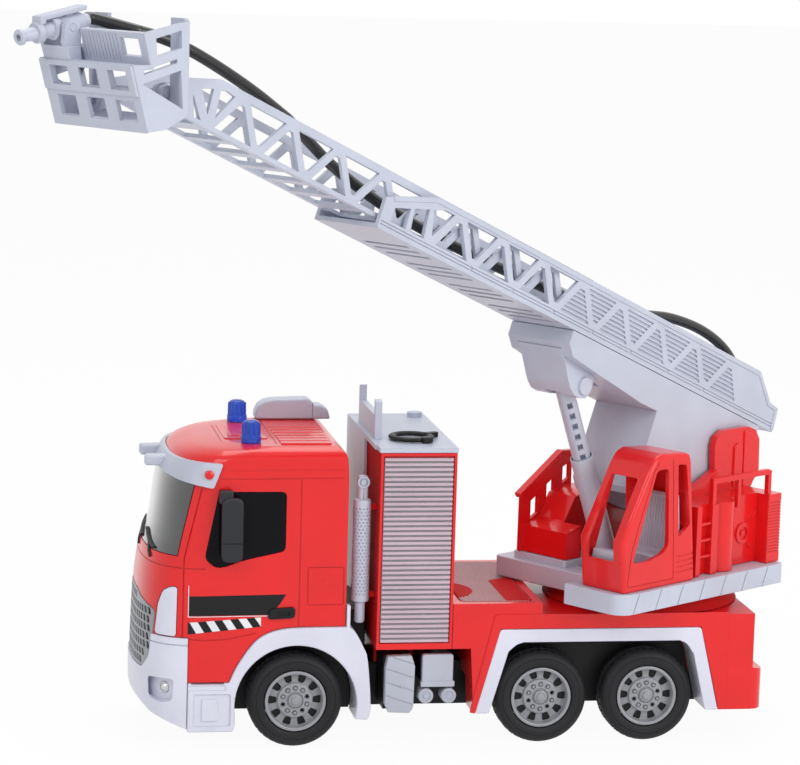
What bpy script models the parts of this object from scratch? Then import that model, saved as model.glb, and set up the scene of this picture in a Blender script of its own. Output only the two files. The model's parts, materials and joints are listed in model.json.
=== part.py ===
# Toy fire engine with a turning ladder, built to real size in metres, +Z up, front towards -X
import math

import bmesh
import bpy
from mathutils import Matrix, Vector

# Clearance between two pieces that touch
GAP = 0.0003
# Flat outlines are filled at this scale, where the fill keeps its precision
FILL_SCALE = 1000.0
# Height of the chassis underside over the floor
CHASSIS_CLEARANCE = 0.014

# Wheels and axles
WHEEL_RADIUS = 0.024
TYRE_WIDTH = 0.0165
WHEEL_FACE = 0.0505
RIM_RADIUS = 0.0155
RIM_OPENINGS = 10
RIM_OPENING_RADIUS = 0.0015
AXLE_RADIUS = 0.002
AXLE_INSET = 0.006
WHEEL_CLEARANCE = 0.007
FRONT_AXLE_X = -0.103
MIDDLE_AXLE_X = 0.0235
REAR_AXLE_X = 0.079
ROUND_STEPS = 24

# Chassis frame
CHASSIS_HALF_WIDTH = 0.021
CHASSIS_TOP = 0.036
CHASSIS_WALL = 0.003
CHASSIS_FRONT_X = -0.152
CHASSIS_REAR_X = 0.126

# Cab form: height, setback of the nose, inset of the sides, inset of the rear
CAB_FRONT_X = -0.182
CAB_REAR_X = -0.0785
CAB_HALF_WIDTH = 0.050
CAB_ROOF = 0.1533
CAB_NOSE_DEPTH = 0.032
CAB_NOSE_POWER = 0.77
CAB_NOSE_STEPS = 14
CAB_LEVELS = (
    (0.008, 0.001, 0.0, 0.0),
    (0.030, 0.0, 0.0, 0.0),
    (0.075, 0.0012, 0.0, 0.0),
    (0.097, 0.004, 0.0, 0.0),
    (0.105, 0.0072, 0.0, 0.0),
    (0.134, 0.0116, 0.0, 0.0),
    (0.1475, 0.0185, 0.0008, 0.0005),
    (0.1512, 0.026, 0.0035, 0.002),
    (CAB_ROOF, 0.040, 0.008, 0.006),
)
CAB_WALL = 0.004
INSERT_DEPTH = 0.0015
WINDSCREEN_LOW = 0.0985
WINDSCREEN_HIGH = 0.1325
VISOR_THICKNESS = 0.0022
BEACON_X = -0.126
BEACON_Y = 0.031
BEACON_RADIUS = 0.0052
BEACON_HEIGHT = 0.0113
BUMPER_TOP = 0.0572
BUMPER_REAR_X = -0.158
BUMPER_SWELL = 0.0009
BUMPER_WALL = 0.0045
HEADLIGHT_SWELL = 0.0005
GRILLE_HALF_WIDTH = 0.034
MIRROR_REACH = 0.0085

# Front fenders with their steps
FENDER_INNER = 0.030
FENDER_OUTER = 0.0515
FENDER_TOP = 0.0624
STEP_TOP = 0.0342
STEP_BOTTOM = 0.009

# Exhaust stack
EXHAUST_X = -0.0703
EXHAUST_Y = -0.042
EXHAUST_RADIUS = 0.0038
EXHAUST_TOP = 0.1385

# Tower
TOWER_FRONT_X = -0.0628
TOWER_REAR_X = -0.024
TOWER_BOTTOM = 0.0504
TOWER_TOP = 0.1512
BODY_HALF_WIDTH = 0.0512
TOWER_WALL = 0.004
LID_THICKNESS = 0.0023
LID_OVERHANG = 0.0007
LID_PANEL = 0.0014
SHUTTER_THICKNESS = 0.0014
SHUTTER_MARGIN = 0.0017
SHUTTER_SLATS = 38
CRADLE_HALF_SPAN = 0.0232
CRADLE_POST_WIDTH = 0.0032
CRADLE_THICKNESS = 0.0035
CRADLE_HEIGHT = 0.0202
CRADLE_PLATE_HEIGHT = 0.0122
LID_RING_RADIUS = 0.0118
LID_RING_BORE = 0.0078
LID_RING_HEIGHT = 0.0022
LID_RING_X = -0.0437
LID_RING_Y = -0.027

# Side units under the tower
UNIT_OUTER = 0.0495
TANK_FRONT_X = -0.059
TANK_REAR_X = -0.042
AIR_CYLINDER_RADIUS = 0.0037

# Rear body
DECK_TOP = 0.0669
RAISED_DECK_TOP = 0.0737
RAISED_DECK_REAR_X = 0.0225
BODY_BOTTOM = 0.0165
BODY_REAR_X = 0.1344
BODY_CORNER = 0.007
REAR_BUMPER_X = 0.1405
REAR_BUMPER_TOP = 0.037
DECK_THICKNESS = 0.005
TREAD_THICKNESS = 0.0012
TREAD_MARGIN = 0.0045
REAR_FENDER_TOP = 0.0602
REAR_FENDER_BAND = 0.0068

# Turntable
TURNTABLE_X = 0.0854
TURN_ANGLE = math.radians(35.5)
SPINDLE_RADIUS = 0.009
DRUM_RADIUS = 0.046
PLATFORM_LIFT = 0.0077
PLATFORM_THICKNESS = 0.0106
PLATFORM_HALF_WIDTH = 0.0541
PLATFORM_REAR_X = 0.0533
PLATFORM_FRONT_X = -0.0545
PLATFORM_NOSE_X = -0.0767
PLATFORM_STEP_Y = -0.0151
PLATFORM_CORNER = 0.009
TIER_HEIGHT = 0.0036
WELL_DEPTH = 0.0086
WELL_SIDE = 0.0025
WELL_FRONT = 0.016
WELL_REAR = 0.012

# Turret housing
CHEEK_INNER = 0.0222
CHEEK_THICKNESS = 0.0038
HOUSING_OUTER = 0.050
HOUSING_TOP = 0.122
HOUSING_REAR_X = 0.0535
RUNG_RADIUS = 0.0009
RAIL_TOP = 0.1355
RAIL_BAR = 0.0028
FAR_PANEL_OUTER = 0.042
FAR_PANEL_THICKNESS = 0.002

# Operator cab
OPERATOR_OUTER = -0.051
OPERATOR_INNER = -0.0224
OPERATOR_WALL = 0.0024

# Boom
HINGE_X = 0.046
HINGE_Z = 0.138
BOOM_ANGLE = math.radians(22.8)
HINGE_PIN_RADIUS = 0.003
LADDER_HALF_WIDTH = 0.021
LADDER_BOTTOM = 0.0219
LADDER_HEIGHT = 0.0268
LADDER_FRONT = 0.301
LADDER_WALL = 0.0022
LADDER_CHORD = 0.0056
LADDER_RAIL = 0.0038
TRUSS_PITCH = 0.0324
TRUSS_APEX = 0.1843
TRUSS_COUNT = 3
TRUSS_STRUT = 0.0041
CARRIER_FRONT = 0.149
CARRIER_ROOT_FRONT = 0.069
CARRIER_REAR = 0.016
CARRIER_DEPTH = 0.043
CARRIER_WALL = 0.003
LIFT_PIN_A = 0.122
LIFT_PIN_RADIUS = 0.002
LIFT_EYE_HALF_WIDTH = 0.005
LIFT_EYE_RADIUS = 0.0052
LUG_HALF_WIDTH = 0.0145
FLY_HALF_WIDTH = 0.017
FLY_WALL = 0.0018
FLY_BOTTOM = 0.0268
FLY_TOP = 0.050
FLY_REAR = 0.142
FLY_PLAIN = 0.063
FLY_FRONT = 0.433
FLY_PITCH = 0.0323
FLY_TRUSS_COUNT = 6
FLY_STRUT = 0.0039
FLY_CHORD = 0.0023
FLY_RUNG_PITCH = 0.0177
FLY_RAIL = 0.003
SHOE_LENGTH = 0.018

# Basket and cannon
EAR_REACH = 0.012
BASKET_PIVOT_A = FLY_FRONT + EAR_REACH
BASKET_PIVOT_H = 0.032
BASKET_PIN_RADIUS = 0.002
BASKET_HALF_WIDTH = 0.031
BASKET_WALL = 0.0021
BASKET_PANEL_HEIGHT = 0.030
BASKET_UPPER_HEIGHT = 0.0138
BASKET_SETBACK = 0.0099
BASKET_LEAN = math.radians(17.0)
BASKET_WINDOW = 0.012
BASKET_ROWS = ((0.0046, 0.014), (0.019, 0.0276))
BASKET_WINDOW_PITCH = 0.0194
BASKET_REAR_TOP = 0.0325
CANNON_Y = 0.020
CANNON_X = -0.026
CANNON_Z = 0.0268
CANNON_DIP = math.radians(11.0)
CANNON_PIN_RADIUS = 0.0015
CANNON_TAIL = 0.0145

# Lift cylinder
FOOT_S = 0.0245
FOOT_Z = 0.084
ROD_RADIUS = 0.0047
ROD_LENGTH = 0.0695
BARREL_RADIUS = 0.006
BARREL_LENGTH = 0.0665
BARREL_END = 0.006

# Hose
HOSE_RADIUS = 0.0027
HOSE_STEP = 0.013
HOSE_STUB = 0.003

SIDES = (("left", -1), ("right", 1))
PLATFORM_BOTTOM = DECK_TOP + PLATFORM_LIFT
PLATFORM_TOP = PLATFORM_BOTTOM + PLATFORM_THICKNESS
TURRET_FLOOR = PLATFORM_TOP + GAP


def mm(*pairs):
    """Points written in millimetres, as metres."""
    return [(first * 0.001, second * 0.001) for first, second in pairs]


def moved(points, across=0.0, up=0.0):
    """The same outline at another place."""
    return [(first + across, second + up) for first, second in points]


def arc(centre, radius, start, end, count):
    """Points on an arc between two angles in degrees, both ends included."""
    points = []
    for step in range(count + 1):
        angle = math.radians(start + (end - start) * step / count)
        points.append((centre[0] + radius * math.cos(angle), centre[1] + radius * math.sin(angle)))
    return points


def rectangle(low_a, high_a, low_b, high_b):
    """Corners of an upright rectangle."""
    return [(low_a, low_b), (high_a, low_b), (high_a, high_b), (low_a, high_b)]


def soft_rectangle(low_a, high_a, low_b, high_b, radius, steps=3):
    """Rectangle with rounded corners."""
    points = arc((high_a - radius, high_b - radius), radius, 0, 90, steps)
    points += arc((low_a + radius, high_b - radius), radius, 90, 180, steps)
    points += arc((low_a + radius, low_b + radius), radius, 180, 270, steps)
    points += arc((high_a - radius, low_b + radius), radius, 270, 360, steps)
    return points


def grown(points, distance):
    """Outline with every edge moved outwards by a distance."""
    count = len(points)
    area = sum(points[i][0] * points[(i + 1) % count][1] - points[(i + 1) % count][0] * points[i][1]
               for i in range(count))
    turn = 1.0 if area > 0 else -1.0
    result = []
    for index in range(count):
        here = Vector(points[index])
        back = (here - Vector(points[index - 1])).normalized()
        ahead = (Vector(points[(index + 1) % count]) - here).normalized()
        normal_back = Vector((back.y, -back.x)) * turn
        normal_ahead = Vector((ahead.y, -ahead.x)) * turn
        middle = normal_back + normal_ahead
        result.append(tuple(here + middle * (distance / (1.0 + normal_back.dot(normal_ahead)))))
    return result


def scratch_object(name, data):
    """Object for a step in between, out of the render."""
    item = bpy.data.objects.new(name, data)
    cutters.objects.link(item)
    item.hide_render = True
    item.display_type = "WIRE"
    return item


def evaluated(item):
    """Plain mesh of an object with its modifiers applied, the object removed."""
    bpy.context.view_layer.update()
    graph = bpy.context.evaluated_depsgraph_get()
    mesh = bpy.data.meshes.new_from_object(item.evaluated_get(graph))
    bpy.data.objects.remove(item, do_unlink=True)
    return mesh


def welded(mesh):
    """The mesh with its seams closed and its faces outward."""
    work = bmesh.new()
    work.from_mesh(mesh)
    bmesh.ops.remove_doubles(work, verts=work.verts, dist=1e-6)
    bmesh.ops.recalc_face_normals(work, faces=work.faces)
    work.to_mesh(mesh)
    work.free()
    return mesh


def filled_outline(outline, thickness):
    """Flat outline in XY, solid to half its thickness both ways."""
    data = bpy.data.curves.new("outline", "CURVE")
    data.dimensions = "2D"
    data.fill_mode = "BOTH"
    data.extrude = FILL_SCALE * thickness / 2
    spline = data.splines.new("POLY")
    spline.points.add(len(outline) - 1)
    for point, place in zip(spline.points, outline):
        point.co = (FILL_SCALE * place[0], FILL_SCALE * place[1], 0.0, 1.0)
    spline.use_cyclic_u = True
    mesh = evaluated(scratch_object("outline", data))
    mesh.transform(Matrix.Scale(1.0 / FILL_SCALE, 4))
    return welded(mesh)


def gathered(meshes):
    """Separate bodies in one mesh, for a cutter."""
    mesh = bpy.data.meshes.new("gathered")
    work = bmesh.new()
    for part in meshes:
        work.from_mesh(part)
    work.to_mesh(mesh)
    work.free()
    return mesh


def plate(plane, outline, low, high, holes=()):
    """Flat outline with holes, solid between two places along its third axis."""
    mesh = filled_outline(outline, high - low)
    if holes:
        mesh = cut(mesh, gathered([filled_outline(hole, 2 * (high - low)) for hole in holes]))
    middle = (low + high) / 2
    if plane == "XZ":
        turn = Matrix.Translation((0, middle, 0)) @ Matrix.Rotation(math.pi / 2, 4, "X")
    elif plane == "YZ":
        swap = Matrix(((0, 0, 1, 0), (1, 0, 0, 0), (0, 1, 0, 0), (0, 0, 0, 1)))
        turn = Matrix.Translation((middle, 0, 0)) @ swap
    else:
        turn = Matrix.Translation((0, 0, middle))
    mesh.transform(turn)
    return mesh


def box(low, high):
    """Cuboid between two corners."""
    low = Vector(low)
    high = Vector(high)
    size = high - low
    mesh = bpy.data.meshes.new("box")
    work = bmesh.new()
    place = Matrix.Translation((low + high) / 2) @ Matrix.Diagonal((size.x, size.y, size.z, 1.0))
    bmesh.ops.create_cube(work, size=1.0, matrix=place)
    work.to_mesh(mesh)
    work.free()
    return mesh


def rod(start, end, radius, steps=12):
    """Cylinder between two points."""
    start = Vector(start)
    end = Vector(end)
    mesh = bpy.data.meshes.new("rod")
    work = bmesh.new()
    direction = end - start
    turn = direction.to_track_quat("Z", "Y").to_matrix().to_4x4()
    place = Matrix.Translation((start + end) / 2) @ turn
    bmesh.ops.create_cone(work, cap_ends=True, segments=steps, radius1=radius, radius2=radius,
                          depth=direction.length, matrix=place)
    work.to_mesh(mesh)
    work.free()
    return mesh


def turned(profile, steps=ROUND_STEPS, closed=False):
    """Profile at +X turned about the Z axis."""
    mesh = bpy.data.meshes.new("profile")
    edges = [(index, index + 1) for index in range(len(profile) - 1)]
    if closed:
        edges.append((len(profile) - 1, 0))
    mesh.from_pydata([(radius, 0.0, height) for radius, height in profile], edges, [])
    item = scratch_object("profile", mesh)
    screw = item.modifiers.new("turn", "SCREW")
    screw.axis = "Z"
    screw.steps = steps
    screw.render_steps = steps
    screw.use_merge_vertices = True
    screw.merge_threshold = 1e-5
    return welded(evaluated(item))


def loft(rings):
    """Closed body through rings of equal point counts."""
    mesh = bpy.data.meshes.new("loft")
    work = bmesh.new()
    loops = [[work.verts.new(point) for point in ring] for ring in rings]
    count = len(loops[0])
    for lower, upper in zip(loops, loops[1:]):
        for index in range(count):
            following = (index + 1) % count
            work.faces.new((lower[index], lower[following], upper[following], upper[index]))
    work.faces.new(loops[0])
    work.faces.new(loops[-1])
    bmesh.ops.recalc_face_normals(work, faces=work.faces)
    work.to_mesh(mesh)
    work.free()
    return mesh


def boolean(first, second, operation):
    """Two meshes of the same frame combined."""
    target = scratch_object("target", first)
    tool = scratch_object("tool", second)
    modifier = target.modifiers.new("combine", "BOOLEAN")
    modifier.object = tool
    modifier.operation = operation
    modifier.solver = "EXACT"
    mesh = evaluated(target)
    bpy.data.objects.remove(tool, do_unlink=True)
    return welded(mesh)


def joined(first, *others):
    """One body made of overlapping bodies."""
    for other in others:
        first = boolean(first, other, "UNION")
    return first


def cut(first, *others):
    """Body with cutters taken away."""
    for other in others:
        first = boolean(first, other, "DIFFERENCE")
    return first


def common(first, second):
    """What two bodies share."""
    return boolean(first, second, "INTERSECT")


def softened(mesh, width, segments=2):
    """Body with rounded edges."""
    item = scratch_object("soft", mesh)
    bevel = item.modifiers.new("edges", "BEVEL")
    bevel.width = width
    bevel.segments = segments
    bevel.limit_method = "ANGLE"
    bevel.angle_limit = math.radians(35)
    return welded(evaluated(item))


def span(side, inner, outer):
    """Ordered limits of a stretch from the centre plane out to one side."""
    if side > 0:
        return inner, outer
    return -outer, -inner


def smooth_route(route, step):
    """Points at even spacing on a smooth curve through route points."""
    route = [Vector(point) for point in route]
    ends = [2 * route[0] - route[1], *route, 2 * route[-1] - route[-2]]
    fine = []
    for index in range(1, len(ends) - 2):
        before, here, there, after = ends[index - 1:index + 3]
        for part in range(24):
            t = part / 24
            fine.append(0.5 * (2 * here + (there - before) * t
                               + (2 * before - 5 * here + 4 * there - after) * t * t
                               + (3 * here - before - 3 * there + after) * t * t * t))
    fine.append(route[-1])
    length = sum((b - a).length for a, b in zip(fine, fine[1:]))
    pieces = max(2, round(length / step))
    points = [fine[0]]
    travelled = 0.0
    for a, b in zip(fine, fine[1:]):
        stretch = (b - a).length
        while len(points) < pieces and travelled + stretch >= length * len(points) / pieces:
            share = (length * len(points) / pieces - travelled) / stretch
            points.append(a.lerp(b, share))
        travelled += stretch
    points.append(fine[-1])
    return points


def hose_piece(route, start_way, end_way):
    """Hose along a smooth route, straight for a short stretch at both ends."""
    inner = [route[0] + start_way * HOSE_STUB, *route[1:-1], route[-1] - end_way * HOSE_STUB]
    points = [route[0], *smooth_route(inner, HOSE_STEP), route[-1]]
    data = bpy.data.curves.new("cord", "CURVE")
    data.dimensions = "3D"
    data.bevel_depth = HOSE_RADIUS
    data.bevel_resolution = 2
    data.use_fill_caps = True
    spline = data.splines.new("POLY")
    spline.points.add(len(points) - 1)
    for point, place in zip(spline.points, points):
        point.co = (*place, 1.0)
    return welded(evaluated(scratch_object("cord", data)))


def finish(name, colour, roughness, metallic=0.0):
    """Principled material."""
    material = bpy.data.materials.new(name)
    material.use_nodes = True
    shader = material.node_tree.nodes["Principled BSDF"]
    shader.inputs["Base Color"].default_value = (*colour, 1.0)
    shader.inputs["Roughness"].default_value = roughness
    shader.inputs["Metallic"].default_value = metallic
    return material


def frame_empty(name, parent, place, turn=0.0, axis="Z"):
    """Empty on a joint's axis."""
    item = bpy.data.objects.new(name, None)
    parts.objects.link(item)
    item.parent = parent
    item.location = place
    item.rotation_euler["XYZ".index(axis)] = turn
    return item


def add_part(name, mesh, material, parent):
    """One finished piece in its parent's frame."""
    mesh.name = name
    mesh.materials.clear()
    mesh.materials.append(material)
    item = bpy.data.objects.new(name, mesh)
    parts.objects.link(item)
    item.parent = parent
    return item


def cab_form(grow):
    """Outer form of the truck's cab, moved outwards by a distance."""
    rings = []
    for number, (height, setback, side_inset, rear_inset) in enumerate(CAB_LEVELS):
        if number == 0:
            height -= grow
        if number == len(CAB_LEVELS) - 1:
            height += grow
        front = CAB_FRONT_X + setback - grow
        half = CAB_HALF_WIDTH - side_inset + grow
        rear = CAB_REAR_X - rear_inset + grow
        ring = [(rear, -half, height)]
        for step in range(CAB_NOSE_STEPS + 1):
            angle = math.pi * (step / CAB_NOSE_STEPS - 0.5)
            ahead = max(0.0, math.cos(angle)) ** CAB_NOSE_POWER
            across = math.copysign(abs(math.sin(angle)) ** CAB_NOSE_POWER, math.sin(angle))
            ring.append((front + CAB_NOSE_DEPTH * (1.0 - ahead), half * across, height))
        ring.append((rear, half, height))
        rings.append(ring)
    return loft(rings)


def windscreen_outline():
    """Side view of the windscreen's stretch of the cab form."""
    ahead = CAB_FRONT_X - 0.02
    return [(ahead, WINDSCREEN_LOW), (CAB_FRONT_X + 0.0185, WINDSCREEN_LOW),
            (CAB_FRONT_X + 0.0258, WINDSCREEN_HIGH), (ahead, WINDSCREEN_HIGH)]


def headlight_outline():
    """Side view of a headlight."""
    shape = mm((6, 1.2), (18.2, 1.2), (19, 26), (15, 25.6), (11.4, 23), (9, 17))
    return moved(shape, CAB_FRONT_X, BUMPER_TOP)


def grille_outline():
    """Front view of the grille."""
    half = GRILLE_HALF_WIDTH
    low = BUMPER_TOP - 0.0187
    return [(-half, low + 0.031), (-half + 0.003, low + 0.007), (-half + 0.009, low), (half - 0.009, low),
            (half - 0.003, low + 0.007), (half, low + 0.031), (half * 0.4, low + 0.037),
            (-half * 0.4, low + 0.037)]


def side_window_outline():
    """Side view of the door window."""
    return moved(mm((38.6, 131.4), (72, 131.3), (72, 101.6), (51, 97), (41, 93.5), (37, 93.5), (32, 97.7)),
                 CAB_FRONT_X)


def visor_outline():
    """Side view of the sun visor."""
    shape = mm((-20, 133.2), (35.8, 133.5), (40.1, 145.2), (32, 147.2), (17, 149.2), (-20, 150.5))
    return moved(shape, CAB_FRONT_X)


def fender_outline():
    """Side view of the front fender's outer edge, from the step round to the rear tip, closed low."""
    step_front = BUMPER_REAR_X + GAP
    reach = moved(mm((-34, 34.2), (-30, 43), (-22, 54.5), (-14.7, 59.5), (-6, 61.8)), FRONT_AXLE_X)
    rear = moved(mm((26.3, 62.4), (30, 59), (34, 51.5), (36.3, 44.7), (38.4, 20.5), (36.8, 14)), FRONT_AXLE_X)
    reach[0] = (reach[0][0], STEP_TOP)
    rear[0] = (rear[0][0], FENDER_TOP)
    return [(step_front, STEP_BOTTOM), (step_front, STEP_TOP), *reach, *rear]


def fender_arch():
    """Inner edge of the front fender round the wheel, from rear to front."""
    return arc((FRONT_AXLE_X, WHEEL_RADIUS - 0.002), WHEEL_RADIUS + WHEEL_CLEARANCE, -14, 187, 16)


def rear_fender_edges():
    """Outer and inner edge of the white frame round the rear wheels."""
    front = MIDDLE_AXLE_X - WHEEL_RADIUS - WHEEL_CLEARANCE
    rear = REAR_AXLE_X + WHEEL_RADIUS + WHEEL_CLEARANCE
    low = BODY_BOTTOM
    top = REAR_FENDER_TOP
    band = REAR_FENDER_BAND
    outer = [(front - 0.0035, low), (front + 0.0085, top), (rear - 0.004, top), (rear + 0.0065, low)]
    inner = [(rear - 0.0002, low), (rear - 0.0075, top - 0.014), (rear - 0.015, top - band),
             (front + 0.0205, top - band), (front + 0.013, top - 0.0115), (front + 0.0036, low)]
    return outer, inner


def build_chassis(root):
    """Channel frame with bores for the axles."""
    half = CHASSIS_HALF_WIDTH
    inner = half - CHASSIS_WALL
    floor = CHASSIS_CLEARANCE + CHASSIS_WALL
    low = CHASSIS_CLEARANCE
    top = CHASSIS_TOP
    channel = [(-half, low), (half, low), (half, top), (inner, top), (inner, floor), (-inner, floor),
               (-inner, top), (-half, top)]
    mesh = plate("YZ", channel, CHASSIS_FRONT_X, CHASSIS_REAR_X)
    for place in (FRONT_AXLE_X, MIDDLE_AXLE_X, REAR_AXLE_X):
        bore = rod((place, -2 * half, WHEEL_RADIUS), (place, 2 * half, WHEEL_RADIUS), AXLE_RADIUS + GAP)
        mesh = cut(mesh, bore)
    add_part("chassis_frame", mesh, black, root)


def tyre_mesh():
    """Tyre turned about Z, its outer face at zero."""
    radius = WHEEL_RADIUS
    bore = RIM_RADIUS + GAP
    width = TYRE_WIDTH
    profile = [(bore, -0.0012), (bore + 0.0038, 0.0), (radius - 0.001, -0.0013), (radius, -0.0036),
               (radius, -width + 0.0036), (radius - 0.001, -width + 0.0013), (bore + 0.0038, -width),
               (bore, -width + 0.0012)]
    return turned(profile, closed=True)


def rim_mesh():
    """Rim turned about Z with ten openings, its outer face at zero."""
    bore = AXLE_RADIUS + GAP
    back = -TYRE_WIDTH + 0.001
    radius = RIM_RADIUS
    end = -AXLE_INSET + GAP
    profile = [(0.0, 0.0), (0.0022, -0.0004), (0.0034, -0.0014), (0.0036, -0.0022),
               (radius - 0.0067, -0.0026), (radius - 0.006, -0.0036), (radius - 0.0021, -0.0042),
               (radius - 0.0016, -0.0006), (radius, -0.0006), (radius, back), (bore, back), (bore, end),
               (0.0, end)]
    mesh = turned(profile, steps=2 * RIM_OPENINGS)
    pitch = radius - 0.0042
    for number in range(RIM_OPENINGS):
        angle = math.tau * number / RIM_OPENINGS
        x = pitch * math.cos(angle)
        y = pitch * math.sin(angle)
        mesh = cut(mesh, rod((x, y, -0.009), (x, y, 0.001), RIM_OPENING_RADIUS, steps=6))
    return mesh


def build_wheels(root):
    """Three axles with a rim and a tyre at each end."""
    tyre = tyre_mesh()
    rim = rim_mesh()
    reach = WHEEL_FACE - AXLE_INSET
    for name, place in (("front", FRONT_AXLE_X), ("middle", MIDDLE_AXLE_X), ("rear", REAR_AXLE_X)):
        hub = frame_empty("axis_" + name, root, (place, 0.0, WHEEL_RADIUS))
        add_part("axle_" + name, rod((0, -reach, 0), (0, reach, 0), AXLE_RADIUS), steel, hub)
        for side_name, side in SIDES:
            upright = Matrix.Rotation(-side * math.pi / 2, 4, "X")
            turn = Matrix.Translation((0, side * WHEEL_FACE, 0)) @ upright
            for kind, source, material in (("rim", rim, rim_grey), ("tyre", tyre, rubber)):
                mesh = source.copy()
                mesh.transform(turn)
                add_part(kind + "_" + name + "_" + side_name, mesh, material, hub)


def build_cab(root):
    """Truck cab with its glazing, lamps and trim."""
    far = BODY_HALF_WIDTH * 2
    ahead = CAB_FRONT_X - 0.03
    side = CAB_HALF_WIDTH
    inner = CHASSIS_HALF_WIDTH + GAP
    shelf = FENDER_TOP + CAB_WALL
    inside = side - CAB_WALL
    neck = inner - CAB_WALL / 2
    mesh = cut(cab_form(0.0),
               box((ahead, -far, 0.0), (0.0, far, STEP_TOP - CAB_WALL / 2)),
               box((ahead, -far, 0.0), (BUMPER_REAR_X + GAP, far, BUMPER_TOP + GAP)),
               box((BUMPER_REAR_X, -inside, shelf), (CAB_REAR_X - CAB_WALL, inside, CAB_ROOF - 2 * CAB_WALL)),
               box((BUMPER_REAR_X + CAB_WALL, -neck, 0.0),
                   (CAB_REAR_X - 2 * CAB_WALL, neck, shelf + CAB_WALL)),
               box((BUMPER_REAR_X, -inner, 0.0), (0.0, inner, CHASSIS_TOP + GAP)))
    wheel_box = [*grown(fender_outline(), GAP), (FRONT_AXLE_X + 0.03, 0.0), (BUMPER_REAR_X, 0.0)]
    for _, way in SIDES:
        mesh = cut(mesh, plate("XZ", wheel_box, *span(way, FENDER_INNER - GAP, far)))
    pocket = INSERT_DEPTH + GAP
    screen_space = cut(plate("XZ", grown(windscreen_outline(), GAP), -far, far), cab_form(-pocket))
    mesh = cut(mesh, screen_space)
    screen = common(cab_form(-GAP), plate("XZ", windscreen_outline(), -far, far))
    add_part("windscreen", cut(screen, cab_form(-INSERT_DEPTH)), glass, root)
    for name, way in SIDES:
        window = side_window_outline()
        mesh = cut(mesh, plate("XZ", grown(window, GAP), *span(way, side - pocket, far)))
        pane = plate("XZ", window, *span(way, side - INSERT_DEPTH, side - GAP))
        add_part("side_window_" + name, pane, glass, root)
        light_side = span(way, GRILLE_HALF_WIDTH + 2 * GAP, far)
        shape = headlight_outline()
        wide_side = span(way, GRILLE_HALF_WIDTH + GAP, far)
        mesh = cut(mesh, cut(plate("XZ", grown(shape, GAP), *wide_side), cab_form(-pocket)))
        lamp = common(cab_form(HEADLIGHT_SWELL), plate("XZ", shape, *light_side))
        add_part("headlight_" + name, cut(lamp, cab_form(-INSERT_DEPTH)), white, root)
    grille_space = cut(plate("YZ", grown(grille_outline(), GAP), ahead, CAB_FRONT_X + CAB_NOSE_DEPTH),
                       cab_form(-pocket))
    mesh = cut(mesh, grille_space.copy())
    grille = common(cab_form(GAP), plate("YZ", grille_outline(), ahead, CAB_FRONT_X + CAB_NOSE_DEPTH))
    add_part("front_grille", cut(grille, cab_form(-INSERT_DEPTH)), ladder_grey, root)
    bumper_side = [(ahead, BUMPER_TOP), (BUMPER_REAR_X, BUMPER_TOP), (BUMPER_REAR_X, STEP_BOTTOM + 0.0015),
                   (BUMPER_REAR_X - 0.017, 0.017), (CAB_FRONT_X, 0.0225), (ahead, 0.0235)]
    bumper = cut(common(cab_form(BUMPER_SWELL), plate("XZ", bumper_side, -far, far)), cab_form(-BUMPER_WALL),
                 grille_space)
    add_part("front_bumper", bumper, white, root)
    add_part("cab_shell", mesh, red, root)
    visor = cut(common(cab_form(VISOR_THICKNESS), plate("XZ", visor_outline(), -far, far)), cab_form(GAP))
    for _, way in SIDES:
        lamp_y = way * 0.015
        start = (CAB_FRONT_X + 0.0135, lamp_y, 0.1415)
        visor = joined(visor, rod(start, (CAB_FRONT_X + 0.004, lamp_y, 0.1415), 0.0032, steps=10))
    add_part("sun_visor", visor, ladder_grey, root)


def build_cab_top(root):
    """Beacons, roof unit and mirrors."""
    base = CAB_ROOF + GAP
    side = CAB_HALF_WIDTH
    radius = BEACON_RADIUS
    height = BEACON_HEIGHT
    dome = [(0.0, height), (radius * 0.5, height - 0.0005), (radius * 0.82, height - 0.002),
            (radius * 0.92, 0.0032), (radius, 0.003), (radius, 0.0), (0.0, 0.0)]
    for name, way in SIDES:
        beacon = turned(dome, steps=16)
        beacon.transform(Matrix.Translation((BEACON_X, way * BEACON_Y, base)))
        add_part("beacon_" + name, beacon, blue, root)
        head = soft_rectangle(CAB_FRONT_X + 0.0404, CAB_FRONT_X + 0.051, 0.0935, 0.129, 0.0035)
        mirror = plate("XZ", head, *span(way, side + MIRROR_REACH - 0.0055, side + MIRROR_REACH))
        arm = rectangle(CAB_FRONT_X + 0.038, CAB_FRONT_X + 0.045, 0.1265, 0.1332)
        mirror = joined(mirror, plate("XZ", arm, *span(way, side + GAP, side + MIRROR_REACH - 0.002)))
        add_part("mirror_" + name, mirror, dark_grey, root)
    unit = mm((0, 0), (0, 7), (4, 12.5), (9, 13.7), (37, 13.7), (41, 11), (42, 0))
    unit = moved(unit, CAB_REAR_X - 0.0395, base)
    add_part("roof_unit", softened(plate("XZ", unit, 0.022, 0.046), 0.0018), ladder_grey, root)


def build_fenders(root):
    """White fenders with steps in front, white frames behind."""
    outer, inner = rear_fender_edges()
    front = [*fender_outline(), *fender_arch(), (BUMPER_REAR_X + 0.0245, STEP_BOTTOM + 0.004),
             (BUMPER_REAR_X + 0.0235, STEP_BOTTOM)]
    for name, way in SIDES:
        fender = plate("XZ", front, *span(way, FENDER_INNER, FENDER_OUTER))
        add_part("front_fender_" + name, fender, white, root)
        frame = plate("XZ", [*outer, *inner], *span(way, FENDER_INNER, BODY_HALF_WIDTH + 0.0006))
        add_part("rear_fender_" + name, frame, white, root)


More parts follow.
